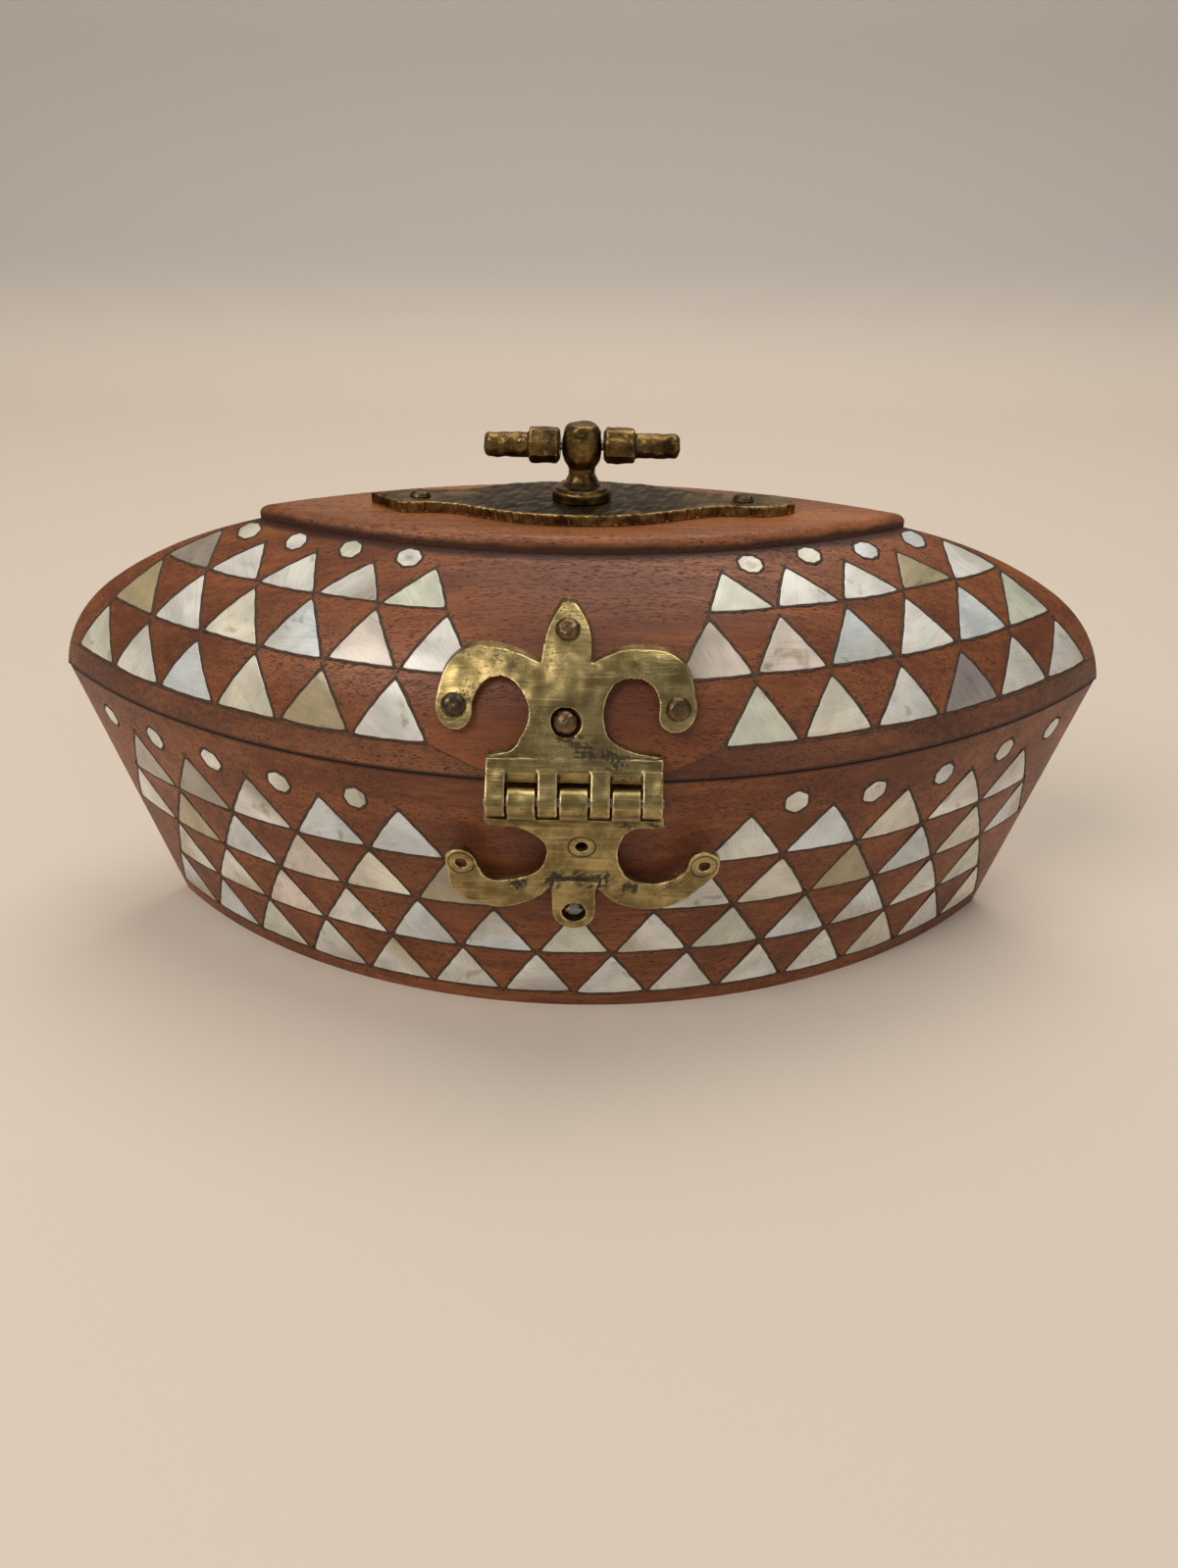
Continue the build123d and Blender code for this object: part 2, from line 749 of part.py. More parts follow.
def make_lid():
    """Lid sides, rim strips, top board and inlay."""
    skin = lid_skin()
    strips = rim_strips()
    triangles = lid_triangles()
    roundels = lid_roundels()
    side = lid_side() - strips - pockets(triangles) - pockets(roundels)
    side = side - nail_holes(lid_leaf_planes())
    triangle_shells = shells(triangles, skin)
    roundel_shells = shells(roundels, skin)
    board = top_board() - tail_hole() - plate_nail_holes()
    return {
        "lid_front_side": side,
        "lid_back_side": to_back(side),
        "lid_top_board": board,
        "lid_rim_strips": group([strips, to_back(strips)]),
        "lid_front_triangles": triangle_shells,
        "lid_back_triangles": to_back(triangle_shells),
        "lid_front_roundels": roundel_shells,
        "lid_back_roundels": to_back(roundel_shells),
    }


def make_hasp():
    """Front hasp: upper leaf, nails, pin and the swinging leaf."""
    return {
        "hasp_upper_leaf": lid_leaf(leaf_centre_hole_radius),
        "hasp_nails": hasp_nails(),
        "hasp_pin": hinge_pin(),
        "hasp_swinging_leaf": hanging_leaf(),
    }


def make_hinge():
    """Rear hinge: two leaves, their nails and a pin."""
    lift = leaf_bed + leaf_thickness
    lid_nails = [
        leaf_nail(plane, lift, nail_head_radius, nail_head_height) for plane in lid_leaf_planes()
    ]
    wall_nails = [
        leaf_nail(on_wall(x, down), lift, nail_head_radius, nail_head_height)
        for x, down in fixed_leaf_nails()
    ]
    return {
        "hinge_upper_leaf": to_back(lid_leaf(nail_hole_radius)),
        "hinge_upper_nails": to_back(group(lid_nails)),
        "hinge_pin": to_back(hinge_pin()),
        "hinge_lower_leaf": to_back(fixed_leaf()),
        "hinge_lower_nails": to_back(group(wall_nails)),
    }


# Heights of the handle, from the top board up
board_low = step_point.Y - ledge_drop
board_top = step_point.Y + plateau_rise
plate_top = board_top + plate_thickness
ball_z = plate_top + ball_centre_rise


def tail_hole():
    """Hole for the post's tail through the plate and the top board."""
    height = plate_top - board_low
    radius = tail_radius + fit_clearance
    return Pos(0, 0, board_low + height / 2) * Cylinder(radius, height)


def plate_nail_holes():
    """Holes of the plate's two nails through the plate and into the board."""
    depth = plate_thickness + plate_nail_grip + fit_clearance
    hole = Cylinder(nail_shank_radius + fit_clearance, depth)
    return [Pos(x, 0, plate_top - depth / 2) * hole for x in (-plate_nail_at, plate_nail_at)]


def handle_plate():
    """Leaf-shaped plate: pointed at the left, blunt at the right, drawn in at both ends."""
    edges = Curve()
    for side in (1, -1):
        edges = edges + Spline(
            (-plate_half_length, 0),
            (-plate_end_at, side * plate_end_half_depth),
            (-plate_neck_at, side * plate_neck_half_depth),
            (-plate_neck_at * 0.6, side * plate_half_depth * 0.72),
            (0, side * plate_half_depth),
            (plate_neck_at * 0.6, side * plate_half_depth * 0.72),
            (plate_neck_at, side * plate_neck_half_depth),
            (plate_end_at, side * plate_end_half_depth),
            (plate_half_length, side * plate_blunt_half_depth),
        )
    edges = edges + Line(
        (plate_half_length, plate_blunt_half_depth), (plate_half_length, -plate_blunt_half_depth)
    )
    plate = Pos(0, 0, board_top) * extrude(make_face(edges), plate_thickness)
    return plate - tail_hole() - plate_nail_holes()


def handle_post():
    """Turned post: ball, neck, foot flange, and a tail riveted over a washer."""
    tail_end = board_low - washer_thickness
    neck_top = ball_z - ball_height / 2 + 0.9
    crown = ball_z + ball_height / 2
    flat = ball_radius * 0.45
    edges = Polyline(
        (flat, crown),
        (0, crown),
        (0, tail_end - tail_head_height),
        (tail_radius * 0.8, tail_end - tail_head_height),
        (tail_head_radius, tail_end),
        (tail_radius, tail_end),
        (tail_radius, plate_top),
        (flange_radius, plate_top),
        (flange_radius, plate_top + flange_thickness * 0.7),
        (flange_radius * 0.86, plate_top + flange_thickness),
        (neck_radius, plate_top + flange_thickness),
        (neck_radius, neck_top),
    )
    edges = edges + ThreePointArc((neck_radius, neck_top), (ball_radius, ball_z), (flat, crown))
    post = revolve(Plane.XZ * make_face(edges), Axis.Z)
    bore = Rot(0, 90, 0) * Cylinder(bar_pin_radius + running_clearance, 4 * ball_radius)
    return post - Pos(0, 0, ball_z) * bore


def handle_arm():
    """Right arm of the bar: a faceted collar and a round bar with a domed end."""
    inner = ball_radius + collar_gap
    collar = Rot(0, 0, 22.5) * RegularPolygon(collar_across / 2, 8, major_radius=False)
    collar = extrude(collar, collar_length)
    collar = chamfer(collar.edges().group_by(Axis.Z)[0] + collar.edges().group_by(Axis.Z)[-1], 0.5)
    length = bar_half_length - inner
    bar = Pos(0, 0, length / 2) * Cylinder(bar_radius, length)
    bar = fillet(bar.edges().group_by(Axis.Z)[-1], bar_radius * 0.5)
    depth = bar_pin_grip + fit_clearance
    hole = Pos(0, 0, depth / 2) * Cylinder(bar_pin_radius + fit_clearance / 2, depth)
    arm = collar + bar - hole
    return Pos(inner, 0, ball_z) * Rot(0, 90, 0) * arm


def make_handle():
    """Plate, nails, post, washer, cross pin and the two arms."""
    ring = Cylinder(washer_radius, washer_thickness)
    ring = ring - Cylinder(tail_radius + fit_clearance, washer_thickness)
    pin_half = ball_radius + collar_gap + bar_pin_grip
    right = handle_arm()
    nails = [
        Pos(x, 0, plate_top)
        * nail(plate_nail_head_radius, plate_nail_head_height, plate_thickness + plate_nail_grip)
        for x in (-plate_nail_at, plate_nail_at)
    ]
    return {
        "handle_plate": handle_plate(),
        "plate_nails": group(nails),
        "handle_post": handle_post(),
        "post_washer": Pos(0, 0, board_low - washer_thickness / 2) * ring,
        "handle_pin": Pos(0, 0, ball_z) * Rot(0, 90, 0) * Cylinder(bar_pin_radius, 2 * pin_half),
        "handle_right_arm": right,
        "handle_left_arm": mirror(right, Plane.YZ),
    }


def main():
    """Build every piece and write one file for each."""
    os.makedirs("parts", exist_ok=True)
    pieces = make_base() | make_lid() | make_hasp() | make_hinge() | make_handle()
    for name, piece in pieces.items():
        export_step(piece, f"parts/{name}.step")
        print(name, len(piece.solids()), round(piece.volume, 1))


main()
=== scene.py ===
import bmesh
import bpy
import json
import math
import numpy as np
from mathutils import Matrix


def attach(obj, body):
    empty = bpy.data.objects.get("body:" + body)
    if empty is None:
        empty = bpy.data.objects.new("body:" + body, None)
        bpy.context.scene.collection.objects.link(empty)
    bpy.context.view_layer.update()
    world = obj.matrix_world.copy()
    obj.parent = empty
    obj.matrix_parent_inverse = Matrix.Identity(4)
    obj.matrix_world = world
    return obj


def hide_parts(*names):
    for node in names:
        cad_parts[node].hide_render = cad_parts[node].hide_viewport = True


# A marquetry box: red-brown wood, rows of mother-of-pearl triangles, brass hasp and handle.
# Sizes in the dictionaries are millimetres, and meshes are made in metres.
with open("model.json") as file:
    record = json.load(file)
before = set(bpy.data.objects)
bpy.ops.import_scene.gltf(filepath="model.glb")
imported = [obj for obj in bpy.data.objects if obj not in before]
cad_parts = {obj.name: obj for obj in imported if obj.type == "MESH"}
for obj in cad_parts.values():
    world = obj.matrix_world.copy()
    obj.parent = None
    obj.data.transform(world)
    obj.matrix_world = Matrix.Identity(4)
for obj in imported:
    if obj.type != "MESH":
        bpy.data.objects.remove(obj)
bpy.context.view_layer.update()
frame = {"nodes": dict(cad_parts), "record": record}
cadNodes = frame["nodes"]
millimetre = 0.001
draw = np.random.default_rng(11)
print("frame loaded:", len(cadNodes), "pieces")

# The box's own surfaces, as the frame has them
baseShape = {
    "seamHalfLength": 140.0,
    "seamHalfDepth": 63.3,
    "footHalfLength": 118.3,
    "footHalfDepth": 53.5,
    "height": 71.7,
}
lidShape = {
    "shoulderCentre": (145.78, 67.15),
    "shoulderRadius": 40.98,
    "rimTurn": 6.8,
    "bendTurn": 46.15,
    "crownCentre": (118.93, 39.20),
    "crownRadius": 79.73,
}


def arcOf(halfLength, halfDepth):
    # radius of the arc through both tips, and how far its centre lies behind them
    radius = (halfLength**2 + halfDepth**2) / (2 * halfDepth)
    return radius, radius - halfDepth


seamRadius, seamCentre = arcOf(baseShape["seamHalfLength"], baseShape["seamHalfDepth"])
footRadius, footCentre = arcOf(baseShape["footHalfLength"], baseShape["footHalfDepth"])
seamTurn = math.atan2(baseShape["seamHalfLength"], seamCentre)
footTurn = math.atan2(baseShape["footHalfLength"], footCentre)
wallSlope = math.hypot(baseShape["height"], baseShape["seamHalfDepth"] - baseShape["footHalfDepth"])


def unit(vectors):
    return vectors / np.linalg.norm(vectors, axis=-1, keepdims=True)


def onArc(radius, centre, turn, height):
    # a place on a level arc whose middle faces the front
    x = radius * np.sin(turn)
    return np.stack([x, centre - radius * np.cos(turn), np.zeros_like(x) + height], -1)


def baseSkin(turn, height):
    # straight lines from the foot's arc up to the seam's arc, and the direction out of the wall
    foot = onArc(footRadius, footCentre, turn * footTurn / seamTurn, 0.0)
    top = onArc(seamRadius, seamCentre, turn, baseShape["height"])
    along = np.stack([np.cos(turn), np.sin(turn), np.zeros_like(turn)], -1)
    point = foot + (top - foot) * (height / baseShape["height"])[..., None]
    return point, unit(np.cross(along, top - foot))


def lidSection(run):
    # radius and height at a distance up the lid's section: one arc, then a flatter one
    shoulder, crown = lidShape["shoulderRadius"], lidShape["crownRadius"]
    rim = math.radians(lidShape["rimTurn"])
    bend = math.radians(lidShape["bendTurn"])
    bendRun = shoulder * (bend - rim)
    low = run < bendRun
    turn = np.where(low, rim + run / shoulder, bend + (run - bendRun) / crown)
    reach = np.where(low, shoulder, crown)
    centres = zip(lidShape["shoulderCentre"], lidShape["crownCentre"])
    out, up = (np.where(low, first, second) for first, second in centres)
    return out + reach * np.cos(turn), up + reach * np.sin(turn), turn


def lidSkin(turn, run):
    # the section turned round the front arc's centre line
    radius, height, slope = lidSection(run)
    out = [np.cos(slope) * np.sin(turn), -np.cos(slope) * np.cos(turn), np.sin(slope)]
    return onArc(radius, seamCentre, turn, height), np.stack(out, -1)


def makeMesh(name, points, *faces, smooth=True, flip=False):
    # one mesh from arrays of corners in millimetres, where flip mirrors a front piece to the back
    if flip:
        points = points * (1, -1, 1)
        faces = [rows[:, ::-1] for rows in faces]
    mesh = bpy.data.meshes.new(name)
    corners = (points.reshape(-1, 3) * millimetre).tolist()
    mesh.from_pydata(corners, [], [face for rows in faces for face in rows.tolist()])
    mesh.polygons.foreach_set("use_smooth", np.full(len(mesh.polygons), smooth))
    mesh.update()
    piece = bpy.data.objects.new(name, mesh)
    bpy.context.scene.collection.objects.link(piece)
    return piece


def addAttribute(piece, name, kind, values):
    # a value for every corner of the mesh, for its material to read
    layer = piece.data.attributes.new(name, kind, "POINT")
    field = {"FLOAT": "value", "FLOAT_VECTOR": "vector", "FLOAT_COLOR": "color"}[kind]
    layer.data.foreach_set(field, np.asarray(values, dtype=np.float32).ravel())


def dress(piece, material, body, replaced=()):
    piece.data.materials.clear()
    piece.data.materials.append(material)
    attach(piece, body)
    if replaced:
        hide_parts(*replaced)


# Node helpers
def newMaterial(name):
    material = bpy.data.materials.new(name)
    material.use_nodes = True
    tree = material.node_tree
    return material, tree, tree.nodes["Principled BSDF"]


def newGroup(name, inputs, outputs):
    # an empty node group with its named sockets, and what its inputs give
    group = bpy.data.node_groups.new(name, "ShaderNodeTree")
    for side, sockets in (("INPUT", inputs), ("OUTPUT", outputs)):
        for label, kind in sockets.items():
            group.interface.new_socket(label, in_out=side, socket_type="NodeSocket" + kind)
    given = group.nodes.new("NodeGroupInput").outputs
    return group, given, group.nodes.new("NodeGroupOutput")


def giveOut(group, out, **values):
    for label, value in values.items():
        group.links.new(value, out.inputs[label])
    return group


def plug(tree, source, target):
    # a socket is linked, and a plain value is set
    if isinstance(source, bpy.types.NodeSocket):
        tree.links.new(source, target)
    else:
        target.default_value = source


def mathNode(tree, operation, first, second, clamp=False):
    node = tree.nodes.new("ShaderNodeMath")
    node.operation = operation
    node.use_clamp = clamp
    plug(tree, first, node.inputs[0])
    plug(tree, second, node.inputs[1])
    return node.outputs[0]


def times(tree, first, second):
    return mathNode(tree, "MULTIPLY", first, second)


def plus(tree, first, second):
    return mathNode(tree, "ADD", first, second)


def minus(tree, first, second):
    return mathNode(tree, "SUBTRACT", first, second)


def vectorNode(tree, operation, first, second=None):
    node = tree.nodes.new("ShaderNodeVectorMath")
    node.operation = operation
    plug(tree, first, node.inputs[0])
    if second is not None:
        plug(tree, second, node.inputs[1])
    return node


def heightOf(tree, point):
    node = tree.nodes.new("ShaderNodeSeparateXYZ")
    plug(tree, point, node.inputs[0])
    return node.outputs["Z"]


def mixColour(tree, share, first, second, blend="MIX"):
    node = tree.nodes.new("ShaderNodeMix")
    node.data_type = "RGBA"
    node.blend_type = blend
    plug(tree, share, node.inputs[0])
    plug(tree, first, node.inputs[6])
    plug(tree, second, node.inputs[7])
    return node.outputs[2]


def stretch(tree, vector, scale, shift=(0.0, 0.0, 0.0)):
    node = tree.nodes.new("ShaderNodeMapping")
    plug(tree, vector, node.inputs["Vector"])
    node.inputs["Location"].default_value = shift
    node.inputs["Scale"].default_value = scale
    return node.outputs[0]


def noise(tree, vector, scale, detail=3.0, roughness=0.5, distortion=0.0, shift=(0.0, 0.0, 0.0)):
    # a scale of three numbers stretches the pattern along X, Y and Z
    if isinstance(scale, tuple):
        vector, scale = stretch(tree, vector, scale, shift), 1.0
    node = tree.nodes.new("ShaderNodeTexNoise")
    plug(tree, vector, node.inputs["Vector"])
    plug(tree, scale, node.inputs["Scale"])
    node.inputs["Detail"].default_value = detail
    node.inputs["Roughness"].default_value = roughness
    node.inputs["Distortion"].default_value = distortion
    return node.outputs["Fac"]


def remap(tree, value, low, high, outLow=0.0, outHigh=1.0):
    node = tree.nodes.new("ShaderNodeMapRange")
    node.interpolation_type = "SMOOTHSTEP"
    plug(tree, value, node.inputs["Value"])
    plug(tree, low, node.inputs["From Min"])
    plug(tree, high, node.inputs["From Max"])
    node.inputs["To Min"].default_value = outLow
    node.inputs["To Max"].default_value = outHigh
    return node.outputs[0]


def bump(tree, height, strength, distance):
    node = tree.nodes.new("ShaderNodeBump")
    plug(tree, height, node.inputs["Height"])
    node.inputs["Strength"].default_value = strength
    node.inputs["Distance"].default_value = distance
    return node.outputs[0]


def useGroup(tree, group, **values):
    node = tree.nodes.new("ShaderNodeGroup")
    node.node_tree = group
    for label, value in values.items():
        plug(tree, value, node.inputs[label])
    return node


def objectPoint(tree):
    return tree.nodes.new("ShaderNodeTexCoord").outputs["Object"]


def attributeNode(tree, name):
    node = tree.nodes.new("ShaderNodeAttribute")
    node.attribute_name = name
    return node


def cover(tree, shader, colour, rough, height, strength, distance):
    # colour, roughness and relief, with the relief's depth in metres
    plug(tree, colour, shader.inputs["Base Color"])
    plug(tree, rough, shader.inputs["Roughness"])
    plug(tree, bump(tree, height, strength, distance), shader.inputs["Normal"])


# How many times a metre each pattern of the wood repeats along X, Y and Z
grainScales = {
    "bands": (7, 62, 62),
    "streaks": (32, 820, 820),
    "blotches": (16, 40, 40),
    "pores": (560, 3400, 3400),
    "poreFields": (20, 130, 130),
}


def makeGrainGroup():
    # bands and streaks along X mix two browns, blotches shade them and dark pores lie on top
    group, given, out = newGroup(
        "open grained wood",
        {"vector": "Vector", "light": "Color", "dark": "Color", "pores": "Color"}
        | {"poreAmount": "Float"},
        {"colour": "Color", "rough": "Float", "height": "Float"},
    )
    vector, light, dark, poreColour, poreAmount = given[:5]
    bands = noise(group, vector, grainScales["bands"], 4.0, 0.55, 0.6)
    streaks = noise(group, vector, grainScales["streaks"], 3.0, 0.6)
    blotches = noise(group, vector, grainScales["blotches"], 3.0, 0.6, shift=(3, 1, 2))
    pores = remap(group, noise(group, vector, grainScales["pores"], 1.5, 0.4), 0.55, 0.66)
    fields = remap(group, noise(group, vector, grainScales["poreFields"], 2.0), 0.25, 0.55)
    pores = times(group, pores, times(group, fields, poreAmount))
    tone = plus(group, times(group, bands, 0.6), times(group, streaks, 0.4))
    colour = mixColour(group, remap(group, tone, 0.36, 0.62), light, dark)
    shade = remap(group, blotches, 0.35, 0.7, 1.08, 0.8)
    colour = mixColour(group, 1.0, colour, shade, "MULTIPLY")
    colour = mixColour(group, pores, colour, poreColour)
    rough = plus(group, times(group, streaks, 0.22), times(group, pores, 0.25))
    height = minus(group, times(group, streaks, 0.35), pores)
    return giveOut(group, out, colour=colour, rough=plus(group, rough, 0.30), height=height)


def makeStainGroup():
    # a soft stain: 1 in the middle of its place, 0 past its radius, broken up by noise
    sockets = {"vector": "Vector", "centre": "Vector", "stretch": "Vector", "radius": "Float"}
    group, given, out = newGroup("soft stain", sockets, {"mask": "Float"})
    vector, centre, wide, radius = given[:4]
    apart = vectorNode(group, "SUBTRACT", vector, centre)
    apart = vectorNode(group, "MULTIPLY", apart.outputs[0], wide)
    length = vectorNode(group, "LENGTH", apart.outputs[0])
    share = mathNode(group, "DIVIDE", length.outputs["Value"], radius)
    ragged = noise(group, vector, (60, 120, 120), 4.0)
    share = plus(group, share, times(group, ragged, 0.5))
    return giveOut(group, out, mask=remap(group, share, 0.35, 1.25, 1.0, 0.0))


# How many times a metre each pattern of the brass repeats
brassScales = {"patches": 150.0, "pits": 1500.0, "pitFields": 110.0, "ragged": 420.0}


def makeBrassGroup():
    # old brass: file scratches, patina, pits, bright worn edges and grime in the hollows
    group, given, out = newGroup(
        "hand filed brass",
        {"vector": "Vector", "scratches": "Vector", "wear": "Float", "metal": "Color"}
        | {"bright": "Color", "patina": "Color", "grime": "Color"}
        | {"patinaAmount": "Float", "pitAmount": "Float"},
        {"colour": "Color", "rough": "Float", "metallic": "Float", "height": "Float"},
    )
    vector, fine, wear, metal, bright, patina, grime, patinaAmount, pitAmount = given[:9]
    lines = vectorNode(group, "MULTIPLY", vector, fine)
    scratches = noise(group, lines.outputs[0], 1.0, 4.0, 0.65, 0.25)
    patches = noise(group, vector, brassScales["patches"], 5.0, 0.62)
    fields = remap(group, noise(group, vector, brassScales["pitFields"], 2.0), 0.48, 0.64)
    pits = remap(group, noise(group, vector, brassScales["pits"], 2.0), 0.57, 0.66)
    pits = times(group, times(group, pits, fields), pitAmount)
    # patina in patches, then the scratches' bright tops and dark bottoms
    share = times(group, remap(group, patches, 0.34, 0.66), patinaAmount)
    colour = mixColour(group, share, metal, patina)
    high = remap(group, scratches, 0.56, 0.72)
    colour = mixColour(group, times(group, high, 0.45), colour, bright)
    deep = remap(group, scratches, 0.32, 0.45, 0.75, 0.0)
    colour = mixColour(group, deep, colour, patina)
    # wear above 0 is an edge rubbed bright, and below 0 a hollow that holds grime
    ragged = remap(group, noise(group, vector, brassScales["ragged"], 3.0), 0.3, 0.6)
    edge = times(group, remap(group, wear, 0.12, 0.75), ragged)
    colour = mixColour(group, times(group, edge, 0.8), colour, bright)
    hollow = remap(group, wear, -0.5, -0.08, 1.0, 0.0)
    dirt = mathNode(group, "MAXIMUM", hollow, pits)
    colour = mixColour(group, times(group, dirt, 0.88), colour, grime)
    rough = plus(group, times(group, patches, 0.22), times(group, dirt, 0.35))
    rough = plus(group, rough, times(group, scratches, 0.16))
    return giveOut(
        group,
        out,
        colour=colour,
        rough=mathNode(group, "ADD", rough, 0.16, clamp=True),
        metallic=minus(group, 1.0, times(group, dirt, 0.75)),
        height=minus(group, times(group, scratches, 0.6), pits),
    )


grainGroup = makeGrainGroup()
stainGroup = makeStainGroup()
brassGroup = makeBrassGroup()

redWood = {
    "light": (0.315, 0.104, 0.034, 1),
    "dark": (0.165, 0.048, 0.017, 1),
    "pores": (0.040, 0.012, 0.007, 1),
    "poreAmount": 0.8,
}
# the top board's lighter, more orange copy of the wood's colours is painted light on its upward
# face
litBoardTones = {"light": (0.385, 0.138, 0.046, 1), "dark": (0.215, 0.066, 0.023, 1)}
stripTones = {"light": (0.262, 0.098, 0.040, 1), "dark": (0.125, 0.043, 0.020, 1)}
# darker patches: places, stretches and radii, in metres
woodStain = {
    "colour": (0.080, 0.020, 0.012, 1),
    "strength": 0.55,
    "lid": ((0.0, -0.062, 0.088), (0.8, 0.5, 1.0), 0.034),
    "base": ((0.0, -0.060, 0.050), (0.9, 0.5, 1.0), 0.026),
    "strip": ((0.034, -0.062, 0.075), (0.5, 1, 1), 0.030),
}
# Painted shade along the seams, in the gap under the lid's rim and in the crease at the top board's
# foot: the heights, in metres, at which it is full and at which it ends
lidSeamShade = (0.07215, 0.0725)
baseSeamShade = (0.07155, 0.0712)
boardFootShade = (0.1134, 0.1150)
boardStepShade = (0.1133, 0.1125)


def makeWood(name, wood, stains, shift, edges):
    # grain from its own part of the pattern, then the stains, then painted shade along the seams
    material, tree, shader = newMaterial(name)
    point = objectPoint(tree)
    grain = useGroup(tree, grainGroup, vector=stretch(tree, point, (1, 1, 1), shift), **wood)
    colour = grain.outputs["colour"]
    for centre, wide, radius in (woodStain[place] for place in stains):
        stain = useGroup(
            tree, stainGroup, vector=point, centre=centre, stretch=wide, radius=radius
        )
        share = times(tree, stain.outputs["mask"], woodStain["strength"])
        colour = mixColour(tree, share, colour, woodStain["colour"])
    # painted shade: the pore colour laid in a band at each seam's height, broken up by noise
    height = heightOf(tree, point)
    breaks = noise(tree, point, (120, 120, 60))
    for full, none in edges:
        level = minus(tree, height, times(tree, breaks, (none - full) * 1.2))
        rim = remap(tree, level, full, none, 1.0, 0.0)
        colour = mixColour(tree, times(tree, rim, 0.9), colour, wood["pores"])
    cover(tree, shader, colour, grain.outputs["rough"], grain.outputs["height"], 0.35, 0.0003)
    shader.inputs["Specular IOR Level"].default_value = 0.36
    return material


lidWood = makeWood("lid wood", redWood, ["lid", "base"], (0.0, 0.0, 0.0), [lidSeamShade, boardStepShade])
baseWood = makeWood("base wood", redWood, ["base"], (0.31, 0.12, 0.07), [baseSeamShade])
boardWood = makeWood("top board wood", redWood | litBoardTones, [], (0.12, 0.4, 0.2), [boardFootShade])
stripWood = makeWood("rim strip wood", redWood | stripTones, ["strip"], (0.5, 0.3, 0.1), [lidSeamShade])
masticTones = ((0.030, 0.015, 0.008, 1), (0.105, 0.056, 0.030, 1))


def makeMastic():
    material, tree, shader = newMaterial("dark mastic")
    crumbs = noise(tree, objectPoint(tree), 1400.0, 4.0, 0.6)
    colour = mixColour(tree, remap(tree, crumbs, 0.35, 0.65), *masticTones)
    cover(tree, shader, colour, remap(tree, crumbs, 0.3, 0.7, 0.6, 0.85), crumbs, 0.5, 0.0002)
    return material


def makePearl():
    # streaks and soft clouds in each piece's own directions, tinted by its own colour
    material, tree, shader = newMaterial("mother of pearl")
    local = attributeNode(tree, "pieceSpot").outputs["Vector"]
    colour = attributeNode(tree, "pieceTint").outputs["Color"]
    clouds = noise(tree, local, 0.10, 3.0, 0.5, 0.5)
    fine = noise(tree, local, (0.22, 3.0, 1.0), 4.0, 0.6, 0.4)
    wide = noise(tree, local, (0.045, 0.26, 1.0), 3.0, 0.5, 1.6, shift=(4, 2, 0))
    colour = mixColour(tree, 1.0, colour, remap(tree, clouds, 0.3, 0.7, 0.80, 1.14), "MULTIPLY")
    colour = mixColour(tree, 1.0, colour, remap(tree, fine, 0.3, 0.7, 0.95, 1.03), "MULTIPLY")
    spots = noise(tree, local, 0.16, 2.0, 0.5, 0.6)
    veils = (
        (remap(tree, wide, 0.54, 0.72, 0.0, 0.38), (0.84, 0.70, 0.50, 1)),  # honey
        (remap(tree, wide, 0.28, 0.44, 0.5, 0.0), (0.70, 0.80, 0.74, 1)),  # sea green
        (remap(tree, spots, 0.62, 0.74, 0.0, 0.6), (0.42, 0.34, 0.22, 1)),  # dark shell
    )
    for share, veil in veils:
        colour = mixColour(tree, share, colour, veil, "MULTIPLY")
    cover(tree, shader, colour, remap(tree, fine, 0.3, 0.7, 0.22, 0.40), wide, 0.10, 0.0006)
    shader.inputs["Specular IOR Level"].default_value = 0.8
    shader.inputs["Coat Weight"].default_value = 0.5
    shader.inputs["Coat Roughness"].default_value = 0.12
    return material


def makeBrass(name, finish, crustColour=None):
    material, tree, shader = newMaterial(name)
    point = objectPoint(tree)
    wear = attributeNode(tree, "wear").outputs["Fac"]
    brass = useGroup(tree, brassGroup, vector=point, wear=wear, **finish)
    colour, rough, metallic, height = brass.outputs[:4]
    if crustColour:
        blot = remap(tree, noise(tree, point, 260.0, 5.0, 0.6), 0.32, 0.52, 0.55, 1.0)
        crust = times(tree, attributeNode(tree, "crust").outputs["Fac"], blot)
        colour = mixColour(tree, crust, colour, crustColour)
        rough = plus(tree, rough, times(tree, crust, 0.12))
    cover(tree, shader, colour, rough, height, 0.6, 0.0002)
    plug(tree, metallic, shader.inputs["Metallic"])
    return material


haspBrassFinish = {
    "scratches": (70, 1000, 1500),
    "metal": (0.45, 0.350, 0.150, 1),
    "bright": (0.78, 0.64, 0.32, 1),
    "patina": (0.175, 0.128, 0.050, 1),
    "grime": (0.018, 0.013, 0.008, 1),
    "patinaAmount": 0.95,
    "pitAmount": 0.8,
}
handleBrassFinish = haspBrassFinish | {
    "scratches": (500, 900, 900),
    "metal": (0.24, 0.145, 0.046, 1),
    "bright": (0.66, 0.42, 0.15, 1),
    "patina": (0.048, 0.029, 0.013, 1),
    "patinaAmount": 1.0,
}
plateBrassFinish = handleBrassFinish | {
    "scratches": (1500, 1500, 200),
    "metal": (0.30, 0.200, 0.070, 1),
}
plateCrust = (0.034, 0.025, 0.019, 1)
nailBrassFinish = haspBrassFinish | {
    "scratches": (700, 700, 700),
    "metal": (0.235, 0.150, 0.075, 1),
    "bright": (0.55, 0.40, 0.24, 1),
    "patina": (0.100, 0.062, 0.034, 1),
    "patinaAmount": 0.9,
}
ironFinish = nailBrassFinish | {
    "metal": (0.13, 0.12, 0.115, 1),
    "bright": (0.42, 0.40, 0.38, 1),
    "patina": (0.05, 0.042, 0.038, 1),
}
darkNailFinish = nailBrassFinish | {
    "metal": (0.130, 0.096, 0.052, 1),
    "bright": (0.36, 0.27, 0.14, 1),
    "patina": (0.050, 0.036, 0.022, 1),
}
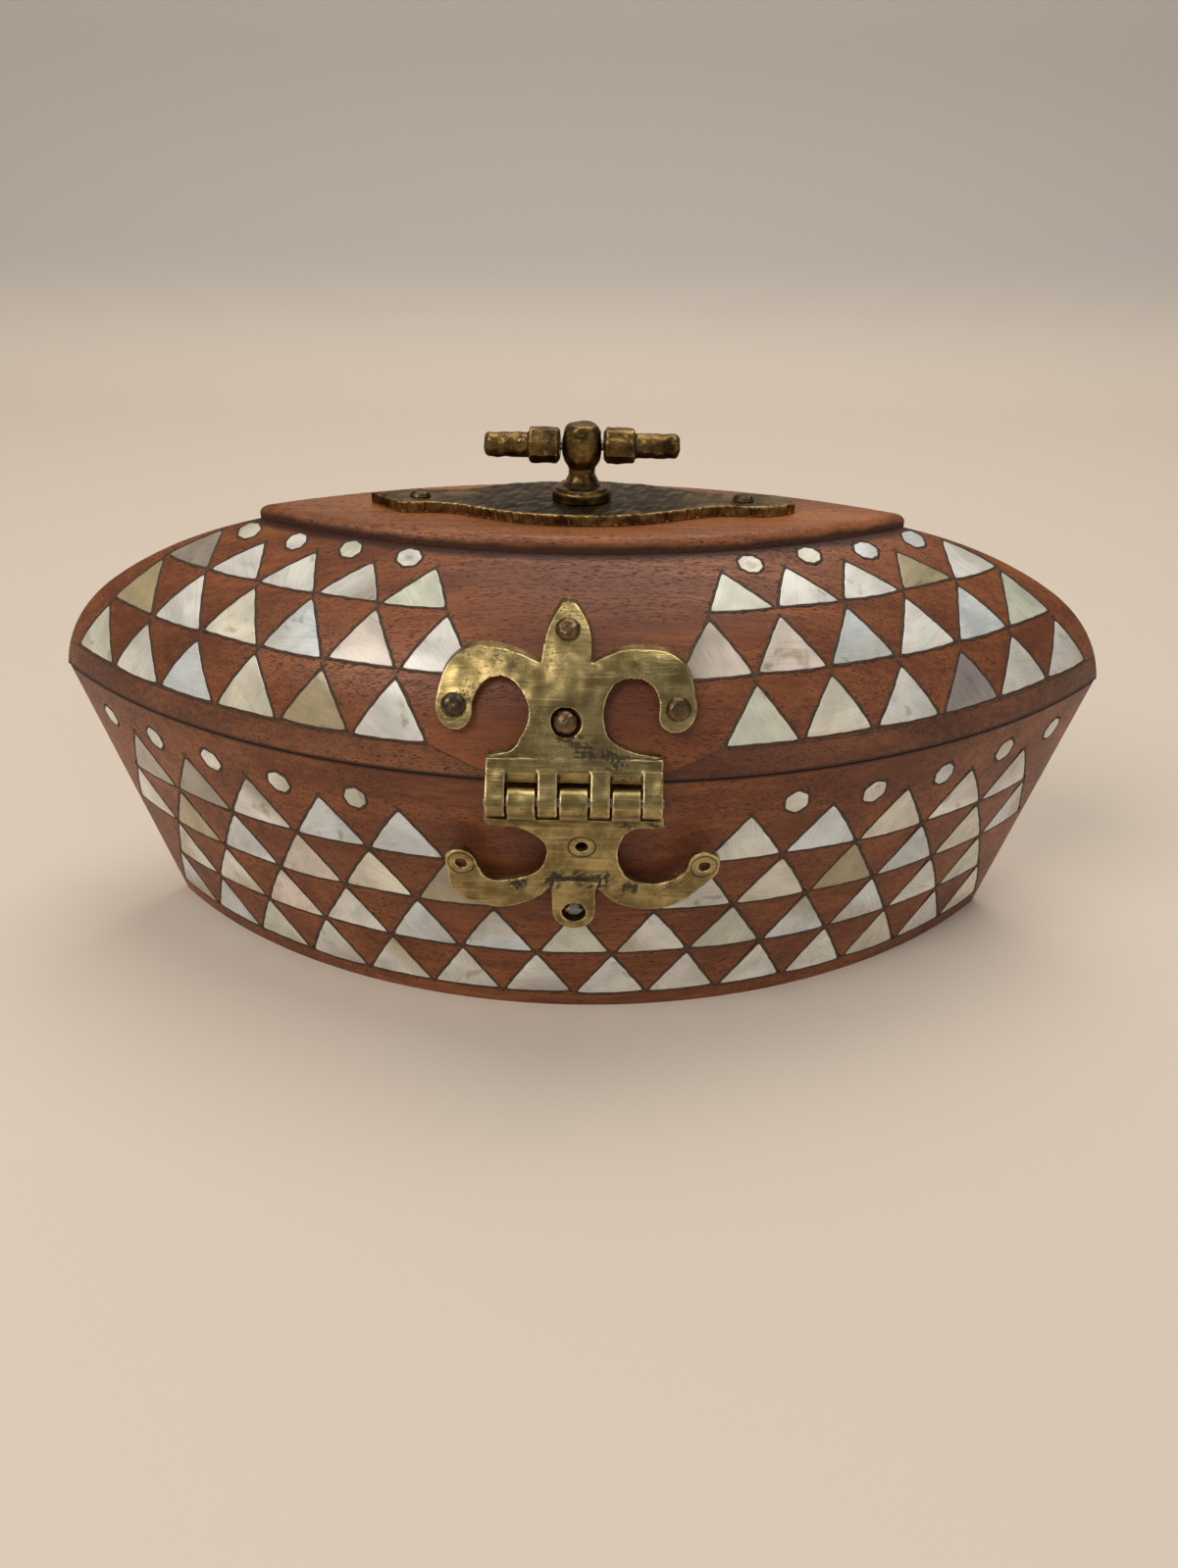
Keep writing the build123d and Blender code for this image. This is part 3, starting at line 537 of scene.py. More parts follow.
steelFinish = ironFinish | {"metal": (0.34, 0.33, 0.32, 1), "patina": (0.17, 0.16, 0.15, 1)}

masticMaterial = makeMastic()
pearlMaterial = makePearl()
haspBrass = makeBrass("hasp brass", haspBrassFinish)
handleBrass = makeBrass("handle brass", handleBrassFinish)
plateBrass = makeBrass("plate brass", plateBrassFinish, plateCrust)
nailBrass = makeBrass("nail brass", nailBrassFinish)
darkNail = makeBrass("dark nail", darkNailFinish)
ironMetal = makeBrass("dark iron", ironFinish)
steelMetal = makeBrass("grey steel", steelFinish)
print("materials made")

# Inlay: places are counted in triangles from the middle, rows from the bottom
baseInlay = {
    "pitch": 2 * seamTurn / 14.5,
    "rowFeet": [4.9, 19.0, 33.1, 47.2],
    "rowHeights": [12.9] * 4,
    "rowLeans": [0.0] * 4,
    "rowPlaces": [(0.5, 6.5), (0.0, 6.0), (1.5, 6.5), (2.0, 6.0)],
    "roundelPlaces": (2.5, 6.5),
    "roundelAt": 62.3,
}
lidInlay = {
    "pitch": math.radians(6.0),
    "rowFeet": [7.7, 23.8, 40.2],
    "rowHeights": [13.5, 14.2, 11.3],
    "rowLeans": [0.0, 0.0, 2.4],
    "rowPlaces": [(2.25, 7.25), (1.75, 6.75), (2.25, 6.25)],
    "roundelPlaces": (2.6, 5.6),
    "roundelAt": 54.4,
}
pearlCut = {
    "spacing": 1.8,
    "thickness": 1.7,
    "proud": 0.07,
    "perSide": 12,
    "wobble": 0.10,
    "bow": 0.36,
    "cornerShift": 0.30,
    "cornerShare": 0.965,
    "roundelRadius": 2.9,
    "roundelSteps": 28,
    "roundelShift": 0.6,
    "facet": 0.045,
    # rings of the top, as shares of the outline, and how far the rounded edge drops
    "rings": [0.35, 0.62, 0.82, 0.94, 0.985],
    "edgeDrop": 0.05,
    # how far apart the pieces' streaks are taken from the pattern
    "patternReach": 900.0,
    "patternStep": 3.7,
    # how fast a piece darkens across itself, and the share at its middle
    "shadeReach": 7.0,
    "shadeMiddle": 0.3,
}
masticCut = {
    "proud": 0.035,
    "depth": 1.0,
    "width": 0.64,
    "ragged": 0.50,
    "cornerReach": 1.9,
    "under": 0.30,
    "lip": 0.10,
}
# saw lines that run on past the corners: length, half width at the corner and at the end
overcut = {
    "shortest": 0.8,
    "longest": 2.1,
    "start": 0.36,
    "end": 0.26,
    "proud": 0.04,
    "depth": 0.8,
}
pearlTints = {
    "white": (0.80, 0.78, 0.71),
    "blue": (0.68, 0.72, 0.72),
    "cream": (0.76, 0.71, 0.57),
    "green": (0.67, 0.68, 0.54),
    "pink": (0.73, 0.63, 0.54),
    "olive": (0.43, 0.345, 0.185),
    "smoke": (0.37, 0.315, 0.245),
    "violet": (0.36, 0.31, 0.29),
}
tintChances = {
    "white": 0.42,
    "blue": 0.18,
    "cream": 0.17,
    "green": 0.11,
    "pink": 0.08,
    "olive": 0.02,
    "smoke": 0.02,
}
shadeTints = ["olive", "smoke"]
# the odd dark pieces on the front: (row, number from the left)
oddPieces = {
    "base": {(3, 0): "smoke", (3, 1): "smoke", (2, 8): "olive", (1, 2): "pink", (2, 1): "olive"},
    "lid": {
        (0, 9): "violet",
        (1, 0): "olive",
        (1, 1): "white",
        (2, 0): "smoke",
        (2, 1): "white",
        (2, 8): "olive",
    },
}


def bothSides(first, last):
    # places on the right, counted in whole steps, and the same on the left
    right = first + np.arange(round(last - first) + 1)
    return np.sort(np.concatenate([-right[right > 0], right]))


def triangleCorners(inlay, radiusAt):
    # per piece: its turn, its middle's place up the surface, its corners, its row and number
    turns, rises, corners, labels = [], [], [], []
    for row, foot in enumerate(inlay["rowFeet"]):
        height = inlay["rowHeights"][row]
        width = inlay["pitch"] * radiusAt(foot) - pearlCut["spacing"]
        for number, place in enumerate(bothSides(*inlay["rowPlaces"][row])):
            lean = -inlay["rowLeans"][row] if place > 0 else inlay["rowLeans"][row]
            low = -height / 3
            corners.append([(-width / 2, low), (width / 2, low), (lean, low + height)])
            turns.append(place * inlay["pitch"])
            rises.append(foot + height / 3)
            labels.append((row, number))
    return np.array(turns), np.array(rises), np.array(corners), labels


def triangleOutlines(corners):
    # sides from corner to corner, bowed by half a sine and shaken by two quicker ones
    count = len(corners)
    corners = corners + draw.uniform(-1, 1, corners.shape) * pearlCut["cornerShift"]
    along = np.arange(pearlCut["perSide"]) / pearlCut["perSide"]
    fade = np.sin(math.pi * along)
    start = corners[:, :, None, :]
    end = np.roll(corners, -1, axis=1)[:, :, None, :]
    side = unit(end - start)
    outward = np.stack([side[..., 1], -side[..., 0]], -1)
    bow = draw.uniform(-0.3, 1.0, (count, 3, 1)) * pearlCut["bow"] * fade
    for waves in (3, 7):
        phase = draw.uniform(0, 2 * math.pi, (count, 3, 1))
        size = pearlCut["wobble"] / waves * 2
        bow = bow + size * np.sin(2 * math.pi * waves * along + phase) * fade
    points = start + (end - start) * along[None, None, :, None] + outward * bow[..., None]
    # each corner's own point is drawn in a little, as a file leaves it
    points[:, :, 0, :] *= pearlCut["cornerShare"]
    return points.reshape(count, -1, 2)


def roundelOutlines(count):
    # circles flattened by a wave for each filed side and a long one for the oval
    around = np.linspace(0, 2 * math.pi, pearlCut["roundelSteps"], endpoint=False)
    sides = draw.integers(6, 9, (count, 1))
    phase = draw.uniform(0, 2 * math.pi, (count, 2))
    radius = pearlCut["roundelRadius"] * draw.uniform(0.92, 1.04, (count, 1))
    filed = pearlCut["facet"] * np.cos(sides * around + phase[:, :1])
    oval = pearlCut["facet"] * np.cos(2 * around + phase[:, 1:])
    radius = radius * (1 + filed + oval)
    return np.stack([radius * np.cos(around), radius * np.sin(around)], -1)


def outlineNormals(outlines):
    side = unit(np.roll(outlines, -1, axis=1) - np.roll(outlines, 1, axis=1))
    return np.stack([side[..., 1], -side[..., 0]], -1)


def onBase(turns, rises, local):
    # local millimetres round each piece's middle, laid on the base's wall
    height = rises[:, None, None] + local[..., 1] * baseShape["height"] / wallSlope
    share = height / baseShape["height"]
    radius = footRadius + share * (seamRadius - footRadius)
    return baseSkin(turns[:, None, None] + local[..., 0] / radius, height)


def onLid(turns, rises, local):
    run = rises[:, None, None] + local[..., 1]
    radius = lidSection(run)[0]
    return lidSkin(turns[:, None, None] + local[..., 0] / radius, run)


def ringFaces(pieces, rings, around, closed):
    # quads between neighbouring rings of every piece, where closed joins the last to the first
    counts = (pieces, rings if closed else rings - 1, around)
    piece, ring, step = np.meshgrid(*(np.arange(count) for count in counts), indexing="ij")
    nextRing = (ring + 1) % rings
    nextStep = (step + 1) % around
    start = piece * rings * around
    return np.stack([
        start + ring * around + step,
        start + nextRing * around + step,
        start + nextRing * around + nextStep,
        start + ring * around + nextStep,
    ], -1).reshape(-1, 4)


def tintPlates(plates, spots, owner, tints):
    # every plate's streaks run their own way, from their own part of the pattern
    count = len(tints)
    turned = draw.uniform(0, math.pi, count)[owner]
    across = spots[:, 0] * np.cos(turned) - spots[:, 1] * np.sin(turned)
    upward = spots[:, 0] * np.sin(turned) + spots[:, 1] * np.cos(turned)
    apart = draw.uniform(0, pearlCut["patternReach"], (count, 2))[owner]
    layer = owner * pearlCut["patternStep"]
    places = np.stack([across + apart[:, 0], upward + apart[:, 1], layer], -1)
    addAttribute(plates, "pieceSpot", "FLOAT_VECTOR", places)
    # and each one darkens towards a side of its own, a few of them strongly
    tint = np.array([pearlTints[label] for label in tints])
    tint = tint * draw.uniform(0.9, 1.08, (count, 1))
    lean = draw.uniform(0, 2 * math.pi, count)[owner]
    depth = (draw.uniform(0, 1, count) ** 2)[owner]
    reach = (spots[:, 0] * np.cos(lean) + spots[:, 1] * np.sin(lean)) / pearlCut["shadeReach"]
    share = (depth * np.clip(pearlCut["shadeMiddle"] + reach, 0, 1))[:, None]
    shade = np.array([pearlTints[label] for label in draw.choice(shadeTints, count)])[owner]
    tint = tint[owner] * (1 - share) + shade * share
    addAttribute(plates, "pieceTint", "FLOAT_COLOR", np.column_stack([tint, np.ones(len(owner))]))


def inlayPlates(name, outlines, turns, rises, place, flip, tints):
    # plates carried from the middle of the top, over the rounded edge, to the underside's middle
    thick, proud = pearlCut["thickness"], pearlCut["proud"]
    shares = np.array(pearlCut["rings"] + [1.0, 1.0, 0.5])
    depths = [proud] * len(pearlCut["rings"]) + [proud - pearlCut["edgeDrop"], -thick, -thick]
    count, around = outlines.shape[:2]
    rings = len(shares)
    local = outlines[:, None] * shares[None, :, None, None]
    point, out = place(turns, rises, local)
    point = point + out * np.array(depths)[None, :, None, None]
    middle, middleOut = place(turns, rises, np.zeros((count, 1, 1, 2)))
    middles = [(middle + middleOut * depth).reshape(-1, 3) for depth in (proud, -thick)]
    # fans that close the top and the underside
    piece, step = np.meshgrid(np.arange(count), np.arange(around), indexing="ij")
    nextStep = (step + 1) % around
    first = piece * rings * around
    last = first + (rings - 1) * around
    top = count * rings * around + piece
    fans = np.concatenate([
        np.stack([top, first + step, first + nextStep], -1).reshape(-1, 3),
        np.stack([top + count, last + nextStep, last + step], -1).reshape(-1, 3),
    ])
    points = np.concatenate([point.reshape(-1, 3), *middles])
    spots = np.concatenate([local.reshape(-1, 2), np.zeros((2 * count, 2))])
    owner = np.concatenate([np.repeat(np.arange(count), rings * around), *[np.arange(count)] * 2])
    plates = makeMesh(name, points, ringFaces(count, rings, around, False), fans, flip=flip)
    tintPlates(plates, spots, owner, tints)
    return plates


def masticRings(name, outlines, turns, rises, place, flip, corners=0, cut=masticCut):
    # a band carried round every outline: inside under the plate, outside over the wood's edge
    count, around = outlines.shape[:2]
    normals = outlineNormals(outlines)
    width = cut["width"] + cut["ragged"] * draw.uniform(-0.4, 1.0, (count, around)) ** 3
    if corners:
        width[:, :: around // corners] = cut["width"] * cut["cornerReach"]
    under, lip = (np.full_like(width, -cut[inside]) for inside in ("under", "lip"))
    proud, deep = cut["proud"], -cut["depth"]
    rings = []
    for reach, depth in ((under, deep), (lip, proud), (width, proud), (width, deep)):
        point, out = place(turns, rises, (outlines + normals * reach[..., None])[:, None])
        rings.append(point + out * depth)
    quads = ringFaces(count, len(rings), around, True)
    return makeMesh(name, np.concatenate(rings, axis=1), quads, flip=flip)


# sides of a bar whose corners 0 to 3 lie above its corners 4 to 7
barSides = np.array([
    [0, 1, 2, 3], [7, 6, 5, 4], [0, 4, 5, 1], [1, 5, 6, 2], [2, 6, 7, 3], [3, 7, 4, 0],
])


def overcutLines(name, outlines, turns, rises, place, flip):
    # small bars of mastic that carry both sides of every corner straight on
    corners = outlines[:, :: pearlCut["perSide"]]
    bars = []
    for step in (1, -1):
        along = unit(corners - np.roll(corners, step, axis=1))
        across = np.stack([-along[..., 1], along[..., 0]], -1)
        start = corners - across * step * overcut["start"]
        length = draw.uniform(overcut["shortest"], overcut["longest"], corners.shape[:2] + (1,))
        end = start + along * length
        wide, narrow = across * overcut["start"], across * overcut["end"]
        bars.append(np.stack([start - wide, end - narrow, end + narrow, start + wide], 2))
    bars = np.concatenate(bars, axis=1)
    point, out = place(turns, rises, bars)
    points = np.concatenate([point + out * overcut["proud"], point - out * overcut["depth"]], 2)
    first = np.arange(bars.shape[0] * bars.shape[1])[:, None, None] * 8
    return makeMesh(name, points, (first + barSides).reshape(-1, 4), smooth=False, flip=flip)


def chooseTints(labels, odd):
    names = list(tintChances)
    chances = np.array(list(tintChances.values()))
    picks = draw.choice(names, len(labels), p=chances / chances.sum())
    return [odd.get(label, str(pick)) for label, pick in zip(labels, picks)]


def layInlay(part, side, kind, laid, labels, odd, corners):
    # one side's plates of one kind, and the mastic round them
    plates = inlayPlates(f"{part}_{side}_pearl_{kind}s", *laid, chooseTints(labels, odd))
    dress(plates, pearlMaterial, part, [f"{part}_{side}_{kind}s"])
    mastic = masticRings(f"{part}_{side}_{kind}_mastic", *laid, corners)
    dress(mastic, masticMaterial, part)


def makeInlay(part, inlay, place, radiusAt):
    turns, rises, corners, labels = triangleCorners(inlay, radiusAt)
    roundelTurns = bothSides(*inlay["roundelPlaces"]) * inlay["pitch"]
    count = len(roundelTurns)
    shift = pearlCut["roundelShift"]
    roundelRises = inlay["roundelAt"] + draw.uniform(-shift, shift, count)
    for side, flip in (("front", False), ("back", True)):
        odd = {} if flip else oddPieces[part]
        laid = (triangleOutlines(corners), turns, rises, place, flip)
        layInlay(part, side, "triangle", laid, labels, odd, 3)
        dress(overcutLines(f"{part}_{side}_overcuts", *laid), masticMaterial, part)
        laid = (roundelOutlines(count), roundelTurns, roundelRises, place, flip)
        layInlay(part, side, "roundel", laid, range(count), {}, 0)


def baseRadiusAt(height):
    return footRadius + height / baseShape["height"] * (seamRadius - footRadius)


def lidRadiusAt(run):
    return float(lidSection(np.array(run))[0])


makeInlay("base", baseInlay, onBase, baseRadiusAt)
makeInlay("lid", lidInlay, onLid, lidRadiusAt)

# The glue line round each rim strip: its edges' heights, its slanted ends, and the gap at the mitre
stripLine = {
    "low": 0.45,
    "high": 6.7,
    "gapLow": 17.6,
    "gapHigh": 33.0,
    "mitreTurn": 0.004,
    "steps": 140,
    "slantSteps": 12,
}
stripCut = masticCut | {"proud": 0.03, "depth": 0.6, "width": 0.12, "ragged": 0.14}


def stripEdge(height, gap, inward):
    # one long edge, from the mitre to the slanted end where inward is true, or else back
    radius = lidRadiusAt(height)
    ends = [math.acos(seamCentre / radius) - stripLine["mitreTurn"], math.asin(gap / radius)]
    turn = np.linspace(*(ends if inward else ends[::-1]), stripLine["steps"])
    return np.stack([radius * turn, np.full(len(turn), height)], -1)


def stripOutline():
    # along the top from the box's point to the slanted end, then back along the bottom
    top = stripEdge(stripLine["high"], stripLine["gapHigh"], True)
    bottom = stripEdge(stripLine["low"], stripLine["gapLow"], False)
    slant = np.linspace(0.0, 1.0, stripLine["slantSteps"])[1:-1]
    cut = top[-1] + (bottom[0] - top[-1]) * slant[:, None]
    return np.concatenate([top, cut, bottom])


outline = stripOutline()
outlines = np.stack([outline, (outline * (-1, 1))[::-1]])
level = np.zeros(2)
for side, flip in (("front", False), ("back", True)):
    laid = (outlines, level, level, onLid, flip)
    glue = masticRings(f"lid_{side}_strip_glue", *laid, cut=stripCut)
    dress(glue, masticMaterial, "lid")
print("inlay made")

# Brass castings: softened copies of the frame's pieces, with an uneven hand-worked surface.
# Blocks fill the valleys between leaf and knuckles: each is an outline of places (Y, Z),
# carried between two places along X.
pinAt = (-67.2, 69.0)
pegDown = 33.0
wallLean = math.atan2(baseShape["seamHalfDepth"] - baseShape["footHalfDepth"], baseShape["height"])


def hangingSpot(down, out):
    # a place on the swinging leaf's section: along the leaf from the pin, and out from it
    along = (math.sin(wallLean), -math.cos(wallLean))
    outward = (-math.cos(wallLean), -math.sin(wallLean))
    return tuple(pinAt[axis] + down * along[axis] + out * outward[axis] for axis in (0, 1))


def pegSlice(half):
    # the peg's worn head, which stands inside the hasp's lower hole
    shape = ((-1, -5.5), (-1, -0.4), (-0.5, 0.4), (0.6, 0.3), (1, -0.5), (1, -5.5))
    return [hangingSpot(pegDown + half * share, out) for share, out in shape]


upperRoot = [(-63.6, 73.1), (-65.95, 73.1), (-66.0, 75.8), (-64.5, 78.6), (-62.6, 78.6)]
upperFinger = [
    (-64.6, 73.4), (-65.95, 76.4), (-70.35, 71.0), (-70.6, 69.5), (-70.5, 67.0), (-69.3, 65.9),
    (-67.2, 66.0),
]
shoulderSpots = ((4.6, -1.5), (4.6, 0.9), (7.1, -0.1), (7.1, -1.5))
fingerSpots = ((5.4, -1.5), (5.4, 0.6), (3.6, 2.3), (0.0, 3.4), (-1.5, 3.0), (-1.0, -1.0))
lowerShoulder = [hangingSpot(*spot) for spot in shoulderSpots]
lowerFinger = [hangingSpot(*spot) for spot in fingerSpots]

# the handle's collars: eight sides round the bar, and the post's turning as heights
# with the share of the CAD radius that each keeps
ballHeight = 133.1
collarRadius = 3.9
collarTurns = np.linspace(0.2, 0.2 + 2 * math.pi, 8, endpoint=False)
collarEnd = [
    (collarRadius * math.cos(turn), ballHeight + collarRadius * math.sin(turn))
    for turn in collarTurns
]
ballTurning = (
    [124.5, 126.0, 127.6, 129.5, 133.1, 136.0, 138.0, 139.2],
    [1.0, 0.80, 0.82, 0.97, 1.0, 1.10, 1.34, 1.5],
)

# rings pressed into the leaves by nail heads: place and radius
lowerNails = ((0.0, 13.5), (28.5, 18.6), (-28.5, 18.6))
lowerMarks = [((x, *hangingSpot(down, -0.13)), 3.1) for x, down in lowerNails]
upperMarks = [((0.0, -64.8, 85.6), 3.5)]
# black grime in the corners: place and reach, where the lower leaf's places are X and down
lowerCorners = (
    (-5.6, 23.6, 2.6), (5.6, 23.6, 2.8), (0.0, 23.0, 2.2), (13.5, 25.0, 2.6), (-14.0, 25.0, 2.2),
    (11.9, 4.0, 2.8), (18.5, 6.0, 2.0),
)
lowerSoot = [((x, *hangingSpot(down, 0.0)), reach) for x, down, reach in lowerCorners]
upperSoot = [
    ((-9.0, -61.5, 91.0), 2.2),
    ((3.0, -64.6, 81.0), 3.0),
    ((9.5, -65.0, 79.0), 3.2),
    ((-17.5, -60.5, 96.5), 2.0),
    ((0.0, -64.6, 85.6), 3.8),
]
# heights, and how far a leaf was set to one side there
upperAskew = ([78.4, 82.6], [0.0, -2.2])
lowerAskew = ([43.0, 48.5, 58.0, 63.0], [0.0, 1.8, 1.8, 0.0])
# nails hammered wider: place, reach and growth
haspSwell = [((0.0, -59.4, 85.3), 6.0, 1.15), ((-25.4, -58.0, 88.5), 5.0, 1.22)]

haspCast = {"voxel": 0.26, "uneven": 0.12, "wave": 4.5, "material": haspBrass}
hingeCast = {"voxel": 0.34, "uneven": 0.10, "wave": 5.0, "material": haspBrass}
armCast = {"voxel": 0.22, "uneven": 0.18, "wave": 3.0, "material": handleBrass}
nailCast = {"voxel": 0.18, "uneven": 0.07, "wave": 1.6, "material": nailBrass}
castings = {
    "hasp_upper_leaf": haspCast | {
        "blocks": [(-20.1, 20.1, upperRoot)]
        + [(x - 2.3, x + 2.3, upperFinger) for x in (-17.85, -5.95, 5.95, 17.85)],
        "marks": upperMarks,
        "soot": upperSoot,
        "hinge": 11.5,
        "blunt": 107.1,
        "askew": upperAskew,
    },
    "hasp_swinging_leaf": haspCast | {
        "blocks": [(-20.7, 20.7, lowerShoulder)]
        + [(x - 3.3, x + 3.3, lowerFinger) for x in (-11.9, 0.0, 11.9)],
        "marks": lowerMarks,
        "soot": lowerSoot,
        "hinge": 8.5,
        "hold": (0.0, *hangingSpot(pegDown, 0.0)),
        "askew": lowerAskew,
    },
    "hinge_upper_leaf": hingeCast,
    "hinge_lower_leaf": hingeCast,
    "handle_plate": {
        "voxel": 0.27,
        "uneven": 0.16,
        "wave": 3.2,
        "material": plateBrass,
        "sawn": 0.16,
        "soften": 2,
        "tip": (-45.0, -54.0, 2.2),
    },
    "handle_post": {
        "voxel": 0.24,
        "uneven": 0.16,
        "wave": 3.6,
        "material": handleBrass,
        "turned": ballTurning,
    },
    "handle_right_arm": armCast | {"blocks": [(5.35, 7.0, collarEnd)]},
    "handle_left_arm": armCast | {"blocks": [(-7.0, -5.35, collarEnd)]},
    "hasp_nails": nailCast | {
        "voxel": 0.16,
        "soot": [((-25.4, -58.6, 88.9), 4.2)],
        "swell": haspSwell,
        "askew": upperAskew,
    },
    "hinge_upper_nails": nailCast,
    "hinge_lower_nails": nailCast,
    "plate_nails": nailCast | {"voxel": 0.16, "uneven": 0.10, "material": darkNail},
    "hasp_peg": {
        "voxel": 0.16,
        "uneven": 0.16,
        "wave": 1.8,
        "material": steelMetal,
        "blocks": [(-x, x, pegSlice(half)) for x, half in ((1.0, 2.0), (1.5, 1.5), (2.0, 0.9))],
    },
}
# how the castings are worked: lengths in millimetres, the rest shares
handWork = {
    "fullWear": 0.12,
    "lift": 0.6,
    "sink": 0.4,
    "sawWave": 1.1,
    "sootWave": 1.3,
    "sootDepth": 0.9,
    "markWidth": 0.32,
    "markDepth": 0.12,
    "markWear": 0.5,
    "swellFade": 1.5,
    "crownDrop": 0.8,
    "crownReach": 6.1,
    "wander": 0.30,
    "wanderWave": 15.0,
    "wanderFade": 6.0,
    "holdReach": 5.0,
    "holdFade": 4.0,
    "bluntShare": 0.75,
    "bluntSlope": 1.74,
}
crustWork = {
    "rounds": 14,
    "fullRim": 0.04,
    "wave": 4.0,
    "waveReach": 2.5,
    "endStart": 24.0,
    "endFade": 13.0,
    "endShare": 0.8,
}
bodies = frame["record"]["behaviour"]["bodies"]
bodyOf = {member: body for body, members in bodies.items() for member in members}


def softCopy(source, voxel, blocks, iterations):
    # the frame's mesh, merged, joined to its blocks, remade on a fine grid and smoothed
    shape = bmesh.new()
    shape.from_mesh(cadNodes[source].data)
    bmesh.ops.remove_doubles(shape, verts=shape.verts, dist=2e-6)
    for first, last, outline in blocks:
        places = [np.array((x, y, z)) * millimetre for x in (first, last) for y, z in outline]
        corners = [shape.verts.new(place) for place in places]
        bmesh.ops.convex_hull(shape, input=corners)
    mesh = bpy.data.meshes.new(source + "_merged")
    shape.to_mesh(mesh)
    shape.free()
    piece = bpy.data.objects.new(source + "_cast", mesh)
    bpy.context.scene.collection.objects.link(piece)
    remesh = piece.modifiers.new("grid", "REMESH")
    remesh.mode = "VOXEL"
    remesh.voxel_size = voxel * millimetre
    soften = piece.modifiers.new("soften", "SMOOTH")
    soften.factor = 0.5
    soften.iterations = iterations
    bpy.context.view_layer.update()
    seen = piece.evaluated_get(bpy.context.evaluated_depsgraph_get())
    made = bpy.data.meshes.new_from_object(seen)
    piece.modifiers.clear()
    piece.data = made
    made.polygons.foreach_set("use_smooth", np.ones(len(made.polygons), dtype=bool))
    return piece


def readCorners(mesh):
    # places in millimetres, and normals
    values = []
    for field in ("co", "normal"):
        values.append(np.empty(len(mesh.vertices) * 3, dtype=np.float32))
        mesh.vertices.foreach_get(field, values[-1])
    return values[0].reshape(-1, 3) / millimetre, values[1].reshape(-1, 3)


def handWaves(points, wave, count=14):
    # a sum of sine waves in many directions, near one wavelength in millimetres
    total = np.zeros(len(points))
    for number in range(count):
        direction = unit(draw.normal(size=3))
        length = wave * draw.uniform(0.6, 1.9)
        total += np.sin(points @ direction * (2 * math.pi / length) + draw.uniform(0, 6.28))
    return total / count**0.5


def sawLines(points, wave, count=6):
    # waves that change mostly along X, as a saw leaves on a cut edge
    total = np.zeros(len(points))
    for number in range(count):
        length = wave * draw.uniform(0.7, 2.4)
        along = points[:, 0] * (2 * math.pi / length) + 0.4 * points[:, 2]
        total += np.sin(along + draw.uniform(0, 6.28))
    return total / count**0.5


def edgeWear(mesh, points, normals, rounds=4):
    # how far each corner stands out from its neighbours, spread a few steps: edges up, hollows down
    ends = np.empty(len(mesh.edges) * 2, dtype=np.int32)
    mesh.edges.foreach_get("vertices", ends)
    first, second = ends.reshape(-1, 2).T
    count = np.bincount(ends, minlength=len(points))
    total = np.zeros_like(points)
    np.add.at(total, first, points[second])
    np.add.at(total, second, points[first])
    wear = ((points - total / count[:, None]) * normals).sum(1)
    for number in range(rounds):
        spread = np.bincount(first, wear[second], len(points))
        spread = spread + np.bincount(second, wear[first], len(points))
        wear = 0.5 * wear + 0.5 * spread / count
    return wear


def setAskew(points, heights, shifts):
    # turned round the front arc's centre line, by a distance that changes with height
    turn = np.interp(points[:, 2], heights, shifts) / seamRadius
    x, back = points[:, 0], points[:, 1] - seamCentre
    turnedX = x * np.cos(turn) - back * np.sin(turn)
    turnedY = seamCentre + x * np.sin(turn) + back * np.cos(turn)
    return np.stack([turnedX, turnedY, points[:, 2]], -1)


def pointTip(points, start, end, aside):
    # the plate's end: a round outline drawn in to a straight-sided point, a little to the back
    share = np.clip((points[:, 0] - start) / (end - start), 0, 0.99)
    points[:, 1] = points[:, 1] * np.sqrt((1 - share) / (1 + share)) + aside * share**2
    return points


def distanceTo(points, centre):
    return np.linalg.norm(points - np.array(centre), axis=1)


def wanderOutline(points, cast):
    # away from the hinge and the peg's hole the outline wanders, as one cut by hand
    free = np.hypot(points[:, 1] - pinAt[0], points[:, 2] - pinAt[1]) - cast["hinge"]
    free = np.clip(free / handWork["wanderFade"], 0, 1)
    if "hold" in cast:
        away = distanceTo(points, cast["hold"]) - handWork["holdReach"]
        free = free * np.clip(away / handWork["holdFade"], 0, 1)
    for axis in (0, 2):
        points[:, axis] += handWork["wander"] * free * handWaves(points, handWork["wanderWave"])
    return points


def crustOf(piece, points, normals, voxel):
    # black crust lies on top, away from the rim and from the plate's two ends
    rim = edgeWear(piece.data, points, normals, crustWork["rounds"])
    rim = rim / (voxel * crustWork["fullRim"])
    ends = np.abs(points[:, 0]) + crustWork["waveReach"] * handWaves(points, crustWork["wave"])
    ends = np.clip((ends - crustWork["endStart"]) / crustWork["endFade"], 0, 1)
    facing = np.clip(normals[:, 2] * 1.6 - 0.6, 0, 1)
    return facing * np.clip(1 - 2.0 * rim, 0, 1) * (1 - crustWork["endShare"] * ends)


